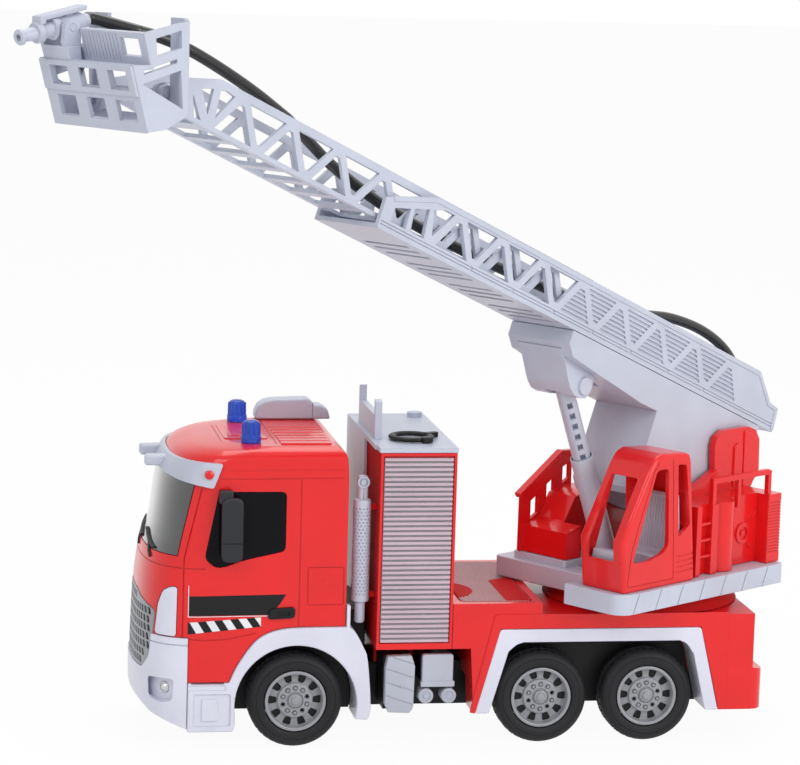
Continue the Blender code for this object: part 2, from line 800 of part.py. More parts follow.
def build_tower(root):
    """Tower with lid, cradle, shutters, ring, exhaust and the units beneath it."""
    half = BODY_HALF_WIDTH
    wall = TOWER_WALL
    shell = box((TOWER_FRONT_X, -half, TOWER_BOTTOM), (TOWER_REAR_X, half, TOWER_TOP))
    foot = CHASSIS_HALF_WIDTH - 0.001
    shell = joined(shell, box((TOWER_FRONT_X + wall, -foot, CHASSIS_TOP + GAP),
                              (TOWER_REAR_X - wall, foot, TOWER_BOTTOM + wall)))
    inside = half - wall
    shell = cut(shell, box((TOWER_FRONT_X + wall, -inside, TOWER_BOTTOM + wall),
                           (TOWER_REAR_X - wall, inside, TOWER_TOP - wall)),
                box((TOWER_FRONT_X + 2 * wall, -foot + wall, 0.0),
                    (TOWER_REAR_X - 2 * wall, foot - wall, TOWER_BOTTOM + 2 * wall)))
    front = TOWER_FRONT_X + SHUTTER_MARGIN
    rear = TOWER_REAR_X - SHUTTER_MARGIN
    low = TOWER_BOTTOM + 0.0034
    high = TOWER_TOP - SHUTTER_MARGIN
    depth = SHUTTER_THICKNESS
    for name, way in SIDES:
        shell = cut(shell, box((front - GAP, min(way * (half - depth - GAP), way * 2 * half), low - GAP),
                               (rear + GAP, max(way * (half - depth - GAP), way * 2 * half), high + GAP)))
        face = way * (half + 0.0004)
        groove = way * (half - 0.0003)
        back = way * (half - depth)
        pitch = (high - low) / SHUTTER_SLATS
        slats = [(back, high), (back, low)]
        for number in range(SHUTTER_SLATS):
            slats.append((groove, low + pitch * number))
            slats.append((face, low + pitch * (number + 0.3)))
        slats.append((groove, high))
        add_part("shutter_" + name, plate("YZ", slats, front, rear), shutter_grey, root)
    add_part("tower_shell", shell, red, root)
    edge = LID_OVERHANG
    base = TOWER_TOP + GAP
    top = base + LID_THICKNESS
    lid = box((TOWER_FRONT_X - edge, -half - edge, base), (TOWER_REAR_X + edge / 2, half + edge, top))
    panel_front = TOWER_FRONT_X - GAP - LID_PANEL
    lid = joined(lid, box((panel_front, -half + 0.009, TOWER_BOTTOM + 0.0016),
                          (TOWER_FRONT_X - GAP, half, top)))
    reach = CRADLE_HALF_SPAN
    post = reach + CRADLE_POST_WIDTH
    low = top - LID_THICKNESS / 2
    high = top + CRADLE_HEIGHT
    rest = top + CRADLE_PLATE_HEIGHT
    cradle = [(-post, low), (post, low), (post, high - 0.001), (reach, high), (reach, rest), (-reach, rest),
              (-reach, high), (-post, high - 0.001)]
    cradle_front = TOWER_FRONT_X + 0.0004
    knob_x = TOWER_REAR_X - 0.006
    knob_y = half - 0.009
    lid = joined(lid, plate("YZ", cradle, cradle_front, cradle_front + CRADLE_THICKNESS),
                 rod((knob_x, knob_y, low), (knob_x, knob_y, top + 0.0025), 0.004))
    add_part("tower_lid", lid, ladder_grey, root)
    height = LID_RING_HEIGHT
    radius = LID_RING_RADIUS
    ring = turned([(LID_RING_BORE, height), (radius - 0.0006, height), (radius, height - 0.0006),
                   (radius, 0.0), (LID_RING_BORE, 0.0)], closed=True)
    ring = joined(ring, box((radius - 0.001, -0.0018, 0.0), (radius + 0.0035, 0.0018, height)))
    ring.transform(Matrix.Translation((LID_RING_X, LID_RING_Y, top + GAP)))
    add_part("lid_ring", ring, black, root)
    build_exhaust(root)
    build_side_units(root)


def build_exhaust(root):
    """Upright stack behind the cab."""
    low = FENDER_TOP + GAP
    radius = EXHAUST_RADIUS
    stack = turned([(0.0, EXHAUST_TOP), (radius * 0.7, EXHAUST_TOP - 0.0012), (radius, EXHAUST_TOP - 0.004),
                    (radius, low + 0.003), (radius * 0.8, low), (0.0, low)], steps=16)
    stack.transform(Matrix.Translation((EXHAUST_X, EXHAUST_Y, 0.0)))
    panel = TOWER_FRONT_X - LID_PANEL - 2 * GAP
    for level in (low + 0.012, EXHAUST_TOP - 0.016):
        clamp = box((EXHAUST_X, EXHAUST_Y - 0.002, level), (panel, EXHAUST_Y + 0.002, level + 0.003))
        stack = joined(stack, clamp)
    add_part("exhaust_stack", stack, ladder_grey, root)


def build_side_units(root):
    """Tank, box and two air cylinders hung on each side of the frame."""
    inner = CHASSIS_HALF_WIDTH + GAP
    top = TOWER_BOTTOM - 0.0034
    for name, way in SIDES:
        tank = soft_rectangle(TANK_FRONT_X, TANK_REAR_X, BODY_BOTTOM, top, 0.003, steps=2)
        unit = plate("XZ", tank, *span(way, inner, UNIT_OUTER))
        case = soft_rectangle(TANK_REAR_X + 0.0024, TOWER_REAR_X + 0.002, 0.031, top, 0.002, steps=2)
        unit = joined(unit, plate("XZ", case, *span(way, inner + 0.001, UNIT_OUTER - 0.0015)))
        link = rectangle(TANK_REAR_X - 0.002, TANK_REAR_X + 0.006, 0.034, 0.043)
        unit = joined(unit, plate("XZ", link, *span(way, inner + 0.002, inner + 0.018)))
        for place in (TANK_REAR_X + 0.0058, TOWER_REAR_X - 0.0002):
            low, high = span(way, inner + 0.003, UNIT_OUTER - 0.001)
            cylinder = rod((place, low, 0.0285), (place, high, 0.0285), AIR_CYLINDER_RADIUS, steps=14)
            unit = joined(unit, cylinder)
        add_part("side_unit_" + name, unit, pale_grey, root)


def build_rear_body(root):
    """Red rear body with its deck, wheel openings and rear bumper."""
    half = BODY_HALF_WIDTH
    front = TOWER_REAR_X + GAP
    leg = MIDDLE_AXLE_X - WHEEL_RADIUS - WHEEL_CLEARANCE - 0.0065
    profile = [(front, TOWER_BOTTOM), (leg, TOWER_BOTTOM), (leg + 0.0022, BODY_BOTTOM),
               (REAR_BUMPER_X, BODY_BOTTOM), (REAR_BUMPER_X, REAR_BUMPER_TOP),
               (BODY_REAR_X, REAR_BUMPER_TOP + 0.0015), (BODY_REAR_X, DECK_TOP),
               (RAISED_DECK_REAR_X, DECK_TOP), (RAISED_DECK_REAR_X, RAISED_DECK_TOP),
               (front, RAISED_DECK_TOP)]
    body = plate("XZ", profile, -half, half)
    corner = BODY_CORNER
    plan = [(front - 0.01, -half), *arc((REAR_BUMPER_X - corner, -half + corner), corner, -90, 0, 4),
            *arc((REAR_BUMPER_X - corner, half - corner), corner, 0, 90, 4), (front - 0.01, half)]
    body = common(body, plate("XY", plan, 0.0, RAISED_DECK_TOP * 2))
    outer, inner = rear_fender_edges()
    opening = grown([*outer, (outer[-1][0] + 0.004, 0.0), (outer[0][0] - 0.004, 0.0)], GAP)
    for _, way in SIDES:
        body = cut(body, plate("XZ", opening, *span(way, FENDER_INNER - GAP, 2 * half)))
    channel = CHASSIS_HALF_WIDTH + GAP
    frame_end = CHASSIS_REAR_X + GAP
    wheel_room = FENDER_INNER + 0.002
    body = cut(body, box((front - 0.01, -wheel_room, 0.0), (frame_end, wheel_room, 0.032)),
               box((front - 0.01, -channel, 0.0), (frame_end, channel, CHASSIS_TOP + GAP)),
               box((leg + 0.006, -channel, 0.0), (CHASSIS_REAR_X, channel, DECK_TOP - DECK_THICKNESS)),
               rod((TURNTABLE_X, 0, 0), (TURNTABLE_X, 0, DECK_TOP * 2), SPINDLE_RADIUS + GAP, ROUND_STEPS))
    margin = TREAD_MARGIN
    tread = soft_rectangle(front + margin, RAISED_DECK_REAR_X - margin, -half + margin, half - margin, 0.003)
    level = RAISED_DECK_TOP - TREAD_THICKNESS
    body = cut(body, plate("XY", grown(tread, GAP), level - GAP, RAISED_DECK_TOP * 2))
    add_part("rear_body", body, red, root)
    add_part("deck_tread", plate("XY", tread, level, RAISED_DECK_TOP), tread_grey, root)


def build_platform(turret):
    """Grey platform with its drum, spindle, tier and the well for the cylinder's foot."""
    half = PLATFORM_HALF_WIDTH
    corner = PLATFORM_CORNER
    small = corner / 3
    plan = [*arc((PLATFORM_NOSE_X + corner, -half + corner), corner, 180, 270, 5),
            *arc((PLATFORM_REAR_X - small, -half + small), small, 270, 360, 2),
            *arc((PLATFORM_REAR_X - small, half - small), small, 0, 90, 2),
            *arc((PLATFORM_FRONT_X + small, half - small), small, 90, 180, 2),
            (PLATFORM_FRONT_X, PLATFORM_STEP_Y), (PLATFORM_NOSE_X, PLATFORM_STEP_Y)]
    slab = plate("XY", plan, PLATFORM_BOTTOM, PLATFORM_TOP)
    tier = soft_rectangle(PLATFORM_FRONT_X + 0.0045, -0.012, 0.0085, FAR_PANEL_OUTER + 0.003, 0.002, steps=2)
    slab = joined(slab, plate("XY", tier, PLATFORM_TOP - 0.002, PLATFORM_TOP + TIER_HEIGHT),
                  rod((0, 0, DECK_TOP + GAP), (0, 0, PLATFORM_BOTTOM + 0.002), DRUM_RADIUS, steps=40),
                  rod((0, 0, DECK_TOP - DECK_THICKNESS + GAP), (0, 0, PLATFORM_BOTTOM), SPINDLE_RADIUS,
                      ROUND_STEPS))
    well = BARREL_RADIUS + WELL_SIDE
    slab = cut(slab, box((-FOOT_S - WELL_FRONT, -well, PLATFORM_TOP - WELL_DEPTH),
                         (-FOOT_S + WELL_REAR, well, PLATFORM_TOP * 2)))
    add_part("turntable_platform", slab, ladder_grey, turret)


def build_housing(turret):
    """Red turret housing: left block, cheeks for the boom hinge, far box and rails in one moulding."""
    floor = TURRET_FLOOR
    outer = HOUSING_OUTER
    cheek_out = CHEEK_INNER + CHEEK_THICKNESS
    block_side = -cheek_out + 0.001
    plan = [(-0.014, block_side), (-0.014, -outer + 0.001), (-0.0105, -outer + 0.001),
            (-0.0105, -outer + 0.005), (-0.002, -outer + 0.005), (-0.002, -outer + 0.001),
            (0.003, -outer + 0.001), *arc((0.012, -outer + 0.0082), 0.0082, 200, 340, 6),
            (0.021, -outer + 0.008), (0.043, -outer + 0.008), (0.043, -outer), (HOUSING_REAR_X, -outer),
            (HOUSING_REAR_X, block_side)]
    body = plate("XY", plan, floor, HOUSING_TOP)
    for level in (0.0915, 0.0995, 0.1075, 0.1155):
        rung_y = -outer + 0.0022
        body = joined(body, rod((-0.012, rung_y, level), (-0.001, rung_y, level), RUNG_RADIUS, steps=6))
    foot = HOUSING_TOP - 0.003
    bar = RAIL_TOP - RAIL_BAR
    rail = [(-0.002, foot), (-0.002, RAIL_TOP), (0.046, RAIL_TOP), (0.046, foot), (0.0435, foot),
            (0.0435, bar), (0.021, bar), (0.021, foot), (0.0185, foot), (0.0185, bar), (0.0008, bar),
            (0.0008, foot)]
    body = joined(body, plate("XZ", rail, -outer + 0.0012, -outer + 0.0037),
                  box((0.0187, -outer + 0.0015, HOUSING_TOP - 0.004),
                      (0.0208, -outer + 0.012, HOUSING_TOP - 0.001)))
    head = moved(mm((-19, -8), (-20, 8), (-18, 13), (-13, 15.8), (8, 15.8), (14, 13.5), (17.5, 8), (18, -9),
                    (11, -17)), HINGE_X, HINGE_Z)
    cheek = [(-0.001, floor), (-0.001, HOUSING_TOP - 0.006), (0.0145, HOUSING_TOP - 0.0034), *head,
             (HOUSING_REAR_X, floor)]
    for _, way in SIDES:
        body = joined(body, plate("XZ", cheek, *span(way, CHEEK_INNER, cheek_out)))
    bridge = CHEEK_INNER + 0.001
    body = joined(body, box((0.022, -bridge, floor), (HOUSING_REAR_X, bridge, floor + 0.003)))
    tier = PLATFORM_TOP + TIER_HEIGHT + GAP
    far = FAR_PANEL_OUTER
    far_top = HOUSING_TOP - 0.0015
    block = [(-0.0485, tier), *mm((-48.5, 103), (-36, 106)), (-0.028, far_top - 0.0025), (-0.020, far_top),
             (HOUSING_REAR_X, far_top), (HOUSING_REAR_X, floor), (-0.0115, floor), (-0.0115, tier)]
    body = joined(body, plate("XZ", block, CHEEK_INNER, far - 0.001))
    nose = [(-0.0485, tier), *mm((-48.5, 103), (-37, 105.8)), (-0.037, tier)]
    body = joined(body, plate("XZ", nose, 0.0095, CHEEK_INNER + 0.001))
    panel = [(-0.0505, tier), *mm((-50.2, 118), (-19.7, 137), (-11.7, 136.4), (-11.5, 112)), (-0.0125, tier)]
    windows = [mm((-43, 105), (-43, 115), (-37.5, 118), (-37.5, 108)),
               mm((-31, 113), (-31, 122.4), (-25.4, 125.6), (-25.4, 116.2)),
               mm((-18.8, 121.5), (-18.8, 130.3), (-13.6, 132.5), (-13.6, 124))]
    body = joined(body, plate("XZ", panel, far - FAR_PANEL_THICKNESS, far, windows))
    reach = 2 * cheek_out
    bore = rod((HINGE_X, -reach, HINGE_Z), (HINGE_X, reach, HINGE_Z), HINGE_PIN_RADIUS + GAP, steps=16)
    add_part("turret_housing", cut(body, bore), red, turret)
    end = cheek_out + 0.0006
    pin = rod((HINGE_X, -end, HINGE_Z), (HINGE_X, end, HINGE_Z), HINGE_PIN_RADIUS, steps=16)
    add_part("boom_pivot_pin", pin, steel, turret)


def build_operator_cab(turret):
    """Open framed cab for the ladder operator with its seat."""
    floor = TURRET_FLOOR
    profile = [(-0.0715, floor), *mm((-75, 111), (-55, 146), (-50.5, 152.4), (-46, 153.7), (-26.5, 152),
                                     (-22.6, 148.4)), (-0.016, floor)]
    wall = OPERATOR_WALL
    deep = [(profile[0][0], floor - 2 * wall), *profile[1:-1], (profile[-1][0], floor - 2 * wall)]
    reach = PLATFORM_HALF_WIDTH * 2
    shell = softened(plate("XZ", deep, OPERATOR_OUTER, OPERATOR_INNER), 0.0016)
    shell = cut(shell, box((-reach, -reach, 0.0), (reach, reach, floor)))
    inside = grown(profile, -wall)
    inside[0] = (inside[0][0], 0.0)
    inside[-1] = (inside[-1][0], 0.0)
    shell = cut(shell, plate("XZ", inside, OPERATOR_OUTER + wall, OPERATOR_INNER - wall))
    window = mm((-65.3, 101.2), (-60.6, 100), (-43, 104), (-39.5, 107.5), (-41, 145), (-49.6, 145.6))
    quarter = mm((-33.7, 147), (-27, 146.2), (-22.4, 114.8), (-31.2, 109))
    screen = rectangle(OPERATOR_OUTER + 0.006, OPERATOR_INNER - 0.005, 0.101, 0.1415)
    shell = cut(shell, plate("XZ", window, -reach, 0.0), plate("XZ", quarter, -reach, 0.0),
                plate("YZ", screen, -reach, -0.05))
    add_part("operator_cab", shell, red, turret)
    seat = [(-0.066, floor), *mm((-66.5, 98.5), (-61, 98.5), (-60, 88), (-48, 88), (-47, 101), (-35, 100),
                                 (-31, 127), (-26.5, 127.5), (-24.5, 98)), (-0.0235, floor)]
    seat_low = OPERATOR_OUTER + wall + 0.0015
    seat_high = OPERATOR_INNER - wall - 0.0015
    add_part("operator_seat", plate("XZ", seat, seat_low, seat_high), ladder_grey, turret)


def truss(apex, count, low, high, pitch, strut):
    """Openings of a W truss: one pointing up at each apex and one pointing down behind it."""
    holes = []
    wide = pitch / 2 - strut * 1.1
    tip = strut * 0.35
    drop = strut * 0.6
    for number in range(count):
        up = -apex - number * pitch
        down = up + pitch / 2
        holes.append([(up - wide, low), (up + wide, low), (up + tip, high - drop), (up - tip, high - drop)])
        holes.append([(down - wide, high), (down - tip, low + drop), (down + tip, low + drop),
                      (down + wide, high)])
    return holes


def slots(start, end, half_width, length, pitch, group=3):
    """Transverse slots of a ladder floor, in groups."""
    holes = []
    place = start
    number = 0
    while place + length <= end:
        if number % (group + 1) < group:
            holes.append(rectangle(-place - length, -place, -half_width, half_width))
        number += 1
        place += pitch
    return holes


def build_boom(boom):
    """Carrier with the hinge root and the lug, and the outer ladder on it."""
    half = LADDER_HALF_WIDTH - 0.0002
    top = LADDER_BOTTOM - GAP
    front = -CARRIER_ROOT_FRONT
    rear = CARRIER_REAR
    profile = [(-CARRIER_FRONT, top), (-CARRIER_FRONT, 0.0145), (-CARRIER_FRONT + 0.0055, 0.0092),
               (front - 0.015, 0.0039), (front, 0.0039),
               (front, -CARRIER_DEPTH + 0.005), (front + 0.005, -CARRIER_DEPTH), (-0.022, -CARRIER_DEPTH),
               (rear - 0.005, -0.018), (rear, -0.006), (rear, top)]
    carrier = plate("XZ", profile, -half, half)
    pin = -LIFT_PIN_A
    lug = moved(mm((-25, 12), (-23, 8.6), (-19.5, 6.8), (-16.6, 3.5), (-13.4, -0.2), (-9.6, -4), (-5.6, -6.4),
                   (-1, -6.8), (3.5, -5.6), (6, -2), (6.2, 2), (5.5, 9)), pin)
    carrier = joined(carrier, plate("XZ", lug, -LUG_HALF_WIDTH, LUG_HALF_WIDTH))
    wall = CARRIER_WALL
    below = -2 * CARRIER_DEPTH
    inside = [(front + wall, top - wall), (front + wall, below), (-0.012, below), (rear - 0.0075, -0.0165),
              (rear - wall, -0.005), (rear - wall, top - wall)]
    eye = LIFT_EYE_HALF_WIDTH + GAP
    reach = 2 * half
    carrier = cut(carrier, plate("XZ", inside, -half + wall, half - wall),
                  rod((0, -reach, 0), (0, reach, 0), HINGE_PIN_RADIUS + GAP, steps=16),
                  box((pin - LIFT_EYE_RADIUS - 2 * GAP, -eye, -0.02), (pin + 0.022, eye, 0.0075)))
    head = -LUG_HALF_WIDTH
    carrier = joined(carrier, rod((pin, head - 0.0012, 0), (pin, LUG_HALF_WIDTH, 0), LIFT_PIN_RADIUS),
                     rod((pin, head - 0.0014, 0), (pin, head + 0.001, 0), 0.0046, steps=16))
    add_part("boom_carrier", carrier, ladder_grey, boom)
    build_outer_ladder(boom)


def build_outer_ladder(boom):
    """Outer ladder: two side trusses and a slotted floor."""
    half = LADDER_HALF_WIDTH
    low = LADDER_BOTTOM
    high = low + LADDER_HEIGHT
    wall = LADDER_WALL
    front = -LADDER_FRONT
    side = [(0.028, low), (0.027, low + 0.0131), (0.019, low + 0.0141), (0.004, high), (front + 0.032, high),
            (front, low + 0.0151), (front, low)]
    chord = low + LADDER_CHORD
    rail = high - LADDER_RAIL
    holes = truss(TRUSS_APEX, TRUSS_COUNT, chord, rail, TRUSS_PITCH, TRUSS_STRUT)
    for opening in (mm((7.2, 27.5), (17.9, 27.5), (17.5, 37.4), (7.5, 34.3)),
                    mm((21.6, 27.5), (31.4, 27.5), (29.6, 41.4), (19.9, 38.3)),
                    mm((36.2, 30.2), (46.9, 44.7), (39.8, 44.7), (32.5, 42.2))):
        holes.append(moved(opening, front))
    ladder = plate("XY", rectangle(front, 0.028, -half + wall / 2, half - wall / 2), low, low + wall,
                   slots(0.03, LADDER_FRONT - 0.012, half - wall - 0.004, 0.003, 0.008))
    for _, way in SIDES:
        ladder = joined(ladder, plate("XZ", side, *span(way, half - wall, half), holes))
    add_part("outer_ladder", ladder, ladder_grey, boom)


def build_fly(boom):
    """Inner ladder that slides out, with the ears that carry the basket."""
    half = FLY_HALF_WIDTH
    low = FLY_BOTTOM
    high = FLY_TOP
    wall = FLY_WALL
    front = -FLY_FRONT
    rear = -FLY_REAR
    pivot = (-BASKET_PIVOT_A, BASKET_PIVOT_H)
    ear = arc(pivot, 0.0045, 125, 285, 6)
    side = [(rear, low), (rear, high), (front + 0.018, high), (front, high - 0.0063), *ear,
            (front + EAR_REACH, low)]
    bore = arc(pivot, BASKET_PIN_RADIUS + GAP, 0, 330, 11)
    open_start = FLY_REAR + FLY_PLAIN
    apex = open_start + FLY_PITCH
    holes = truss(apex, FLY_TRUSS_COUNT, low + FLY_CHORD, high - FLY_RAIL - 0.0008, FLY_PITCH, FLY_STRUT)
    for opening in (mm((5.1, 37.9), (13.6, 29.2), (9.3, 29.2)), mm((8.9, 42.2), (16.5, 32.8), (15.4, 44.6)),
                    mm((19.4, 45.6), (21.2, 33), (28.4, 45.8), (23.4, 46.4))):
        holes.append(moved(opening, front))
    rungs = slots(open_start, FLY_FRONT - 0.02, half - wall - 0.002, 0.0125, FLY_RUNG_PITCH, group=99)
    floor = rectangle(front + EAR_REACH, rear, -half + wall / 2, half - wall / 2)
    ladder = plate("XY", floor, low, low + wall, rungs)
    shoe_half = LADDER_HALF_WIDTH - LADDER_WALL - GAP
    shoe_low = LADDER_BOTTOM + LADDER_WALL + GAP
    for _, way in SIDES:
        ladder = joined(ladder, plate("XZ", side, *span(way, half - wall, half), [*holes, bore]))
        inner, outer = span(way, half - wall - 0.003, shoe_half)
        shoe = box((rear - SHOE_LENGTH, inner, shoe_low), (rear - 0.001, outer, low + 0.004))
        ladder = joined(ladder, shoe)
    add_part("inner_ladder", ladder, ladder_grey, boom)


def basket_front(outline, holes, foot):
    """Leaning plate of the basket's front, drawn across and up from its foot."""
    panel = plate("YZ", outline, 0.0, BASKET_WALL, holes)
    panel.transform(Matrix.Translation((foot[0], 0, foot[1])) @ Matrix.Rotation(-BASKET_LEAN, 4, "Y"))
    return panel


def build_basket(basket):
    """Basket with a stepped window front, open sides, rear walls, floor and fork for the cannon."""
    half = BASKET_HALF_WIDTH
    wall = BASKET_WALL
    top = BASKET_PANEL_HEIGHT
    foot = (-0.0197, -0.0155)
    proud = GAP
    edge_y = half - proud
    ledge = (foot[0] - top * math.sin(BASKET_LEAN), foot[1] + top * math.cos(BASKET_LEAN))
    step = (ledge[0] + BASKET_SETBACK, ledge[1])
    rim = (step[0] - BASKET_UPPER_HEIGHT * math.sin(BASKET_LEAN),
           step[1] + BASKET_UPPER_HEIGHT * math.cos(BASKET_LEAN))
    windows = []
    first_left = -0.0268
    for number in range(3):
        left = first_left + number * BASKET_WINDOW_PITCH
        for low, high in BASKET_ROWS:
            windows.append(rectangle(left, left + BASKET_WINDOW, low, high))
    lower = [(-edge_y, 0.0), (edge_y, 0.0), (edge_y, top), (-edge_y, top)]
    body = basket_front(lower, windows, (foot[0] - proud, foot[1] - proud))
    notch = 0.0088
    notch_low = 0.0055
    crest = BASKET_UPPER_HEIGHT
    upper = [(-edge_y, -0.001), (edge_y, -0.001), (edge_y, crest), (CANNON_Y + notch, crest),
             (CANNON_Y + notch, notch_low), (CANNON_Y - notch, notch_low), (CANNON_Y - notch, crest),
             (-edge_y, crest)]
    window = rectangle(first_left, first_left + BASKET_WINDOW, 0.0032, 0.0112)
    shelf = box((ledge[0] + 0.0006, -edge_y, ledge[1] - wall), (step[0] + wall, edge_y, ledge[1] - proud))
    body = joined(body, shelf, basket_front(upper, [window], (step[0] - proud, step[1])))
    floor = [(0.0025, -0.009), (-0.009, -0.0145), (foot[0] + proud, foot[1] + proud),
             (foot[0] + proud, foot[1] + wall), (-0.009, -0.0145 + wall), (0.0025, -0.009 + wall)]
    floor = moved(floor, 0.0, proud)
    ear_inner = FLY_HALF_WIDTH + GAP
    ear_outer = ear_inner + 0.003
    floor = cut(plate("XZ", floor, -half + wall / 2, half - wall / 2),
                box((-0.003, -ear_inner, -half), (half, ear_inner, half)))
    body = joined(body, floor)
    edge = [(0.003, -0.009), (0.003, BASKET_REAR_TOP - 0.001), rim, step, ledge, foot, (-0.009, -0.0145)]
    openings = [mm((-15.7, 24.2), (-1.5, 27.4), (-1.1, 20), (-15, 16.6)),
                mm((-22, 10.9), (-3.7, 15.4), (-3.7, 13.7), (-22, 9.1)),
                mm((-22.6, 5), (-1.4, 10.5), (-0.2, -6))]
    ear = [(0.0018, -0.0078), *arc((0.0, 0.0), 0.0036, -10, 190, 6), (-0.0075, -0.0125)]
    arm = mm((-27.8, 12), (-31, 21), (-30.4, 28), (-28, 30.4), (-24, 30.4), (-22, 28), (-21.2, 12))
    for _, way in SIDES:
        rear_low, rear_high = span(way, ear_outer + 0.0008, half - wall / 2)
        body = joined(body, plate("XZ", edge, *span(way, half - wall, half), openings),
                      box((0.0009, rear_low, -0.0085), (0.0031, rear_high, BASKET_REAR_TOP)),
                      plate("XZ", ear, *span(way, ear_inner, ear_outer)))
        first = CANNON_Y + way * 0.0062
        second = CANNON_Y + way * 0.0084
        body = joined(body, plate("XZ", arm, min(first, second), max(first, second)))
    body = joined(body, rod((0, -ear_outer - 0.0005, 0), (0, ear_outer + 0.0005, 0), BASKET_PIN_RADIUS))
    body = cut(body, rod((CANNON_X, CANNON_Y - 0.012, CANNON_Z), (CANNON_X, CANNON_Y + 0.012, CANNON_Z),
                         CANNON_PIN_RADIUS + GAP))
    add_part("basket", body, ladder_grey, basket)


def build_cannon(cannon):
    """Water cannon: turned barrel on a cross pin with a bar on top."""
    nozzle = mm((0, 18), (1.9, 18), (1.9, 23.6), (3.5, 23.6), (3.5, 21.8), (2.4, 21.4), (3, 14.5),
                (4.6, 14.5), (4.6, 11.5), (3.4, 11.5), (3.4, 5.5), (5, 5.5), (5, 2.5), (4.2, 2),
                (4.2, -10.5), (3, -12.5))
    barrel = turned([*nozzle, (0.003, -CANNON_TAIL), (0.0, -CANNON_TAIL)], steps=12)
    barrel.transform(Matrix.Rotation(-math.pi / 2 - CANNON_DIP, 4, "Y"))
    dip = math.tan(CANNON_DIP)
    bar = [(-0.0135, 0.0035 - 0.0135 * dip), (-0.0135, 0.0072 - 0.0135 * dip), (0.012, 0.0072 + 0.012 * dip),
           (0.012, 0.005 + 0.012 * dip), (-0.0105, 0.005 - 0.0105 * dip), (-0.0105, 0.0035 - 0.0105 * dip)]
    post = [(0.002, 0.003 + 0.002 * dip), (0.002, 0.0065 + 0.002 * dip), (0.0055, 0.0065 + 0.0055 * dip),
            (0.0055, 0.003 + 0.0055 * dip)]
    pin = 0.0086
    body = joined(barrel, plate("XZ", bar, -0.0013, 0.0013), plate("XZ", post, -0.001, 0.001),
                  rod((0, -pin, 0), (0, pin, 0), CANNON_PIN_RADIUS))
    add_part("water_cannon", body, ladder_grey, cannon)


def build_lift_cylinder(lift, length):
    """Rod hung on the lug's pin and the barrel it slides in, both down the -Z of the pin's frame."""
    eye = LIFT_EYE_HALF_WIDTH
    shaft = rod((0, 0, -ROD_LENGTH), (0, 0, -0.002), ROD_RADIUS, steps=16)
    shaft = joined(shaft, rod((0, -eye, 0), (0, eye, 0), LIFT_EYE_RADIUS, steps=16))
    shaft = cut(shaft, rod((0, -2 * eye, 0), (0, 2 * eye, 0), LIFT_PIN_RADIUS + GAP))
    add_part("cylinder_rod", shaft, ladder_grey, lift)
    bore = ROD_RADIUS + GAP
    top = -length + BARREL_LENGTH
    end = -length + BARREL_END
    radius = BARREL_RADIUS
    profile = [(0.0, end), (bore, end), (bore, top), (radius - 0.0005, top), (radius, top - 0.0005),
               (radius, -length), (radius * 0.7, -length - radius * 0.6), (0.0, -length - radius * 0.7)]
    add_part("cylinder_barrel", turned(profile, steps=16), ladder_grey, lift)


def build_hose(boom, basket):
    """Black hose: loop and run along the boom, drop to the basket and lead to the cannon."""
    run = [(-15, 0, 31), (-12.5, 0, 42), (-4, 0, 51.5), (11, 0, 57), (31, 0, 58.8), (54, 0, 56.8),
           (73, 0, 52.2), (92, 0, 46), (115, 0, 42), (143, 0, 40), (190, 0, 37.5), (236, 0, 36.5),
           (281, 0, 38), (318, 0, 43), (338, 0, 48), (356, 0, 53)]
    drop = [(356, 0, 53), (378, 0.3, 56.5), (400, 1, 58.8), (421, 3, 60.2), (436, 6, 59.8), (446, 9.3, 58.6)]
    run = [Vector((-a, v, h)) * 0.001 for a, v, h in run]
    drop = [Vector((-a, v, h)) * 0.001 for a, v, h in drop]
    first = (drop[1] - run[-2]).normalized()
    last = (drop[-1] - drop[-2]).normalized()
    run[-1] = run[-1] - first * GAP
    add_part("hose_run", hose_piece(run, Vector((0, 0, 1)), first), rubber, boom)
    add_part("hose_drop", hose_piece(drop, first, last), rubber, boom)
    turn = Matrix.Rotation(BOOM_ANGLE, 3, "Y")
    pivot = Vector((-BASKET_PIVOT_A, 0, BASKET_PIVOT_H))
    start = turn @ (drop[-1] + last * GAP - pivot)
    back = Vector((math.cos(CANNON_DIP), 0, math.sin(CANNON_DIP)))
    end = Vector((CANNON_X, CANNON_Y, CANNON_Z)) + back * (CANNON_TAIL + GAP)
    add_part("hose_lead", hose_piece([start, end], turn @ last, -back), rubber, basket)


for old in list(bpy.data.objects):
    bpy.data.objects.remove(old, do_unlink=True)
parts = bpy.data.collections.new("toy_fire_engine")
cutters = bpy.data.collections.new("cutters")
bpy.context.scene.collection.children.link(parts)
bpy.context.scene.collection.children.link(cutters)
red = finish("red_plastic", (0.80, 0.026, 0.026), 0.35)
white = finish("white_plastic", (0.84, 0.85, 0.93), 0.35)
ladder_grey = finish("ladder_grey_plastic", (0.60, 0.62, 0.70), 0.40)
pale_grey = finish("pale_grey_plastic", (0.66, 0.68, 0.74), 0.40)
shutter_grey = finish("shutter_grey_plastic", (0.42, 0.42, 0.44), 0.35)
tread_grey = finish("tread_grey_plastic", (0.40, 0.38, 0.40), 0.50)
dark_grey = finish("dark_grey_plastic", (0.05, 0.052, 0.06), 0.35)
rim_grey = finish("rim_grey_plastic", (0.30, 0.30, 0.32), 0.35)
black = finish("black_plastic", (0.012, 0.012, 0.013), 0.45)
rubber = finish("black_rubber", (0.016, 0.016, 0.018), 0.60)
glass = finish("dark_glazing", (0.010, 0.011, 0.012), 0.10)
blue = finish("blue_lens", (0.02, 0.09, 0.55), 0.12)
steel = finish("steel", (0.55, 0.55, 0.57), 0.30, metallic=1.0)

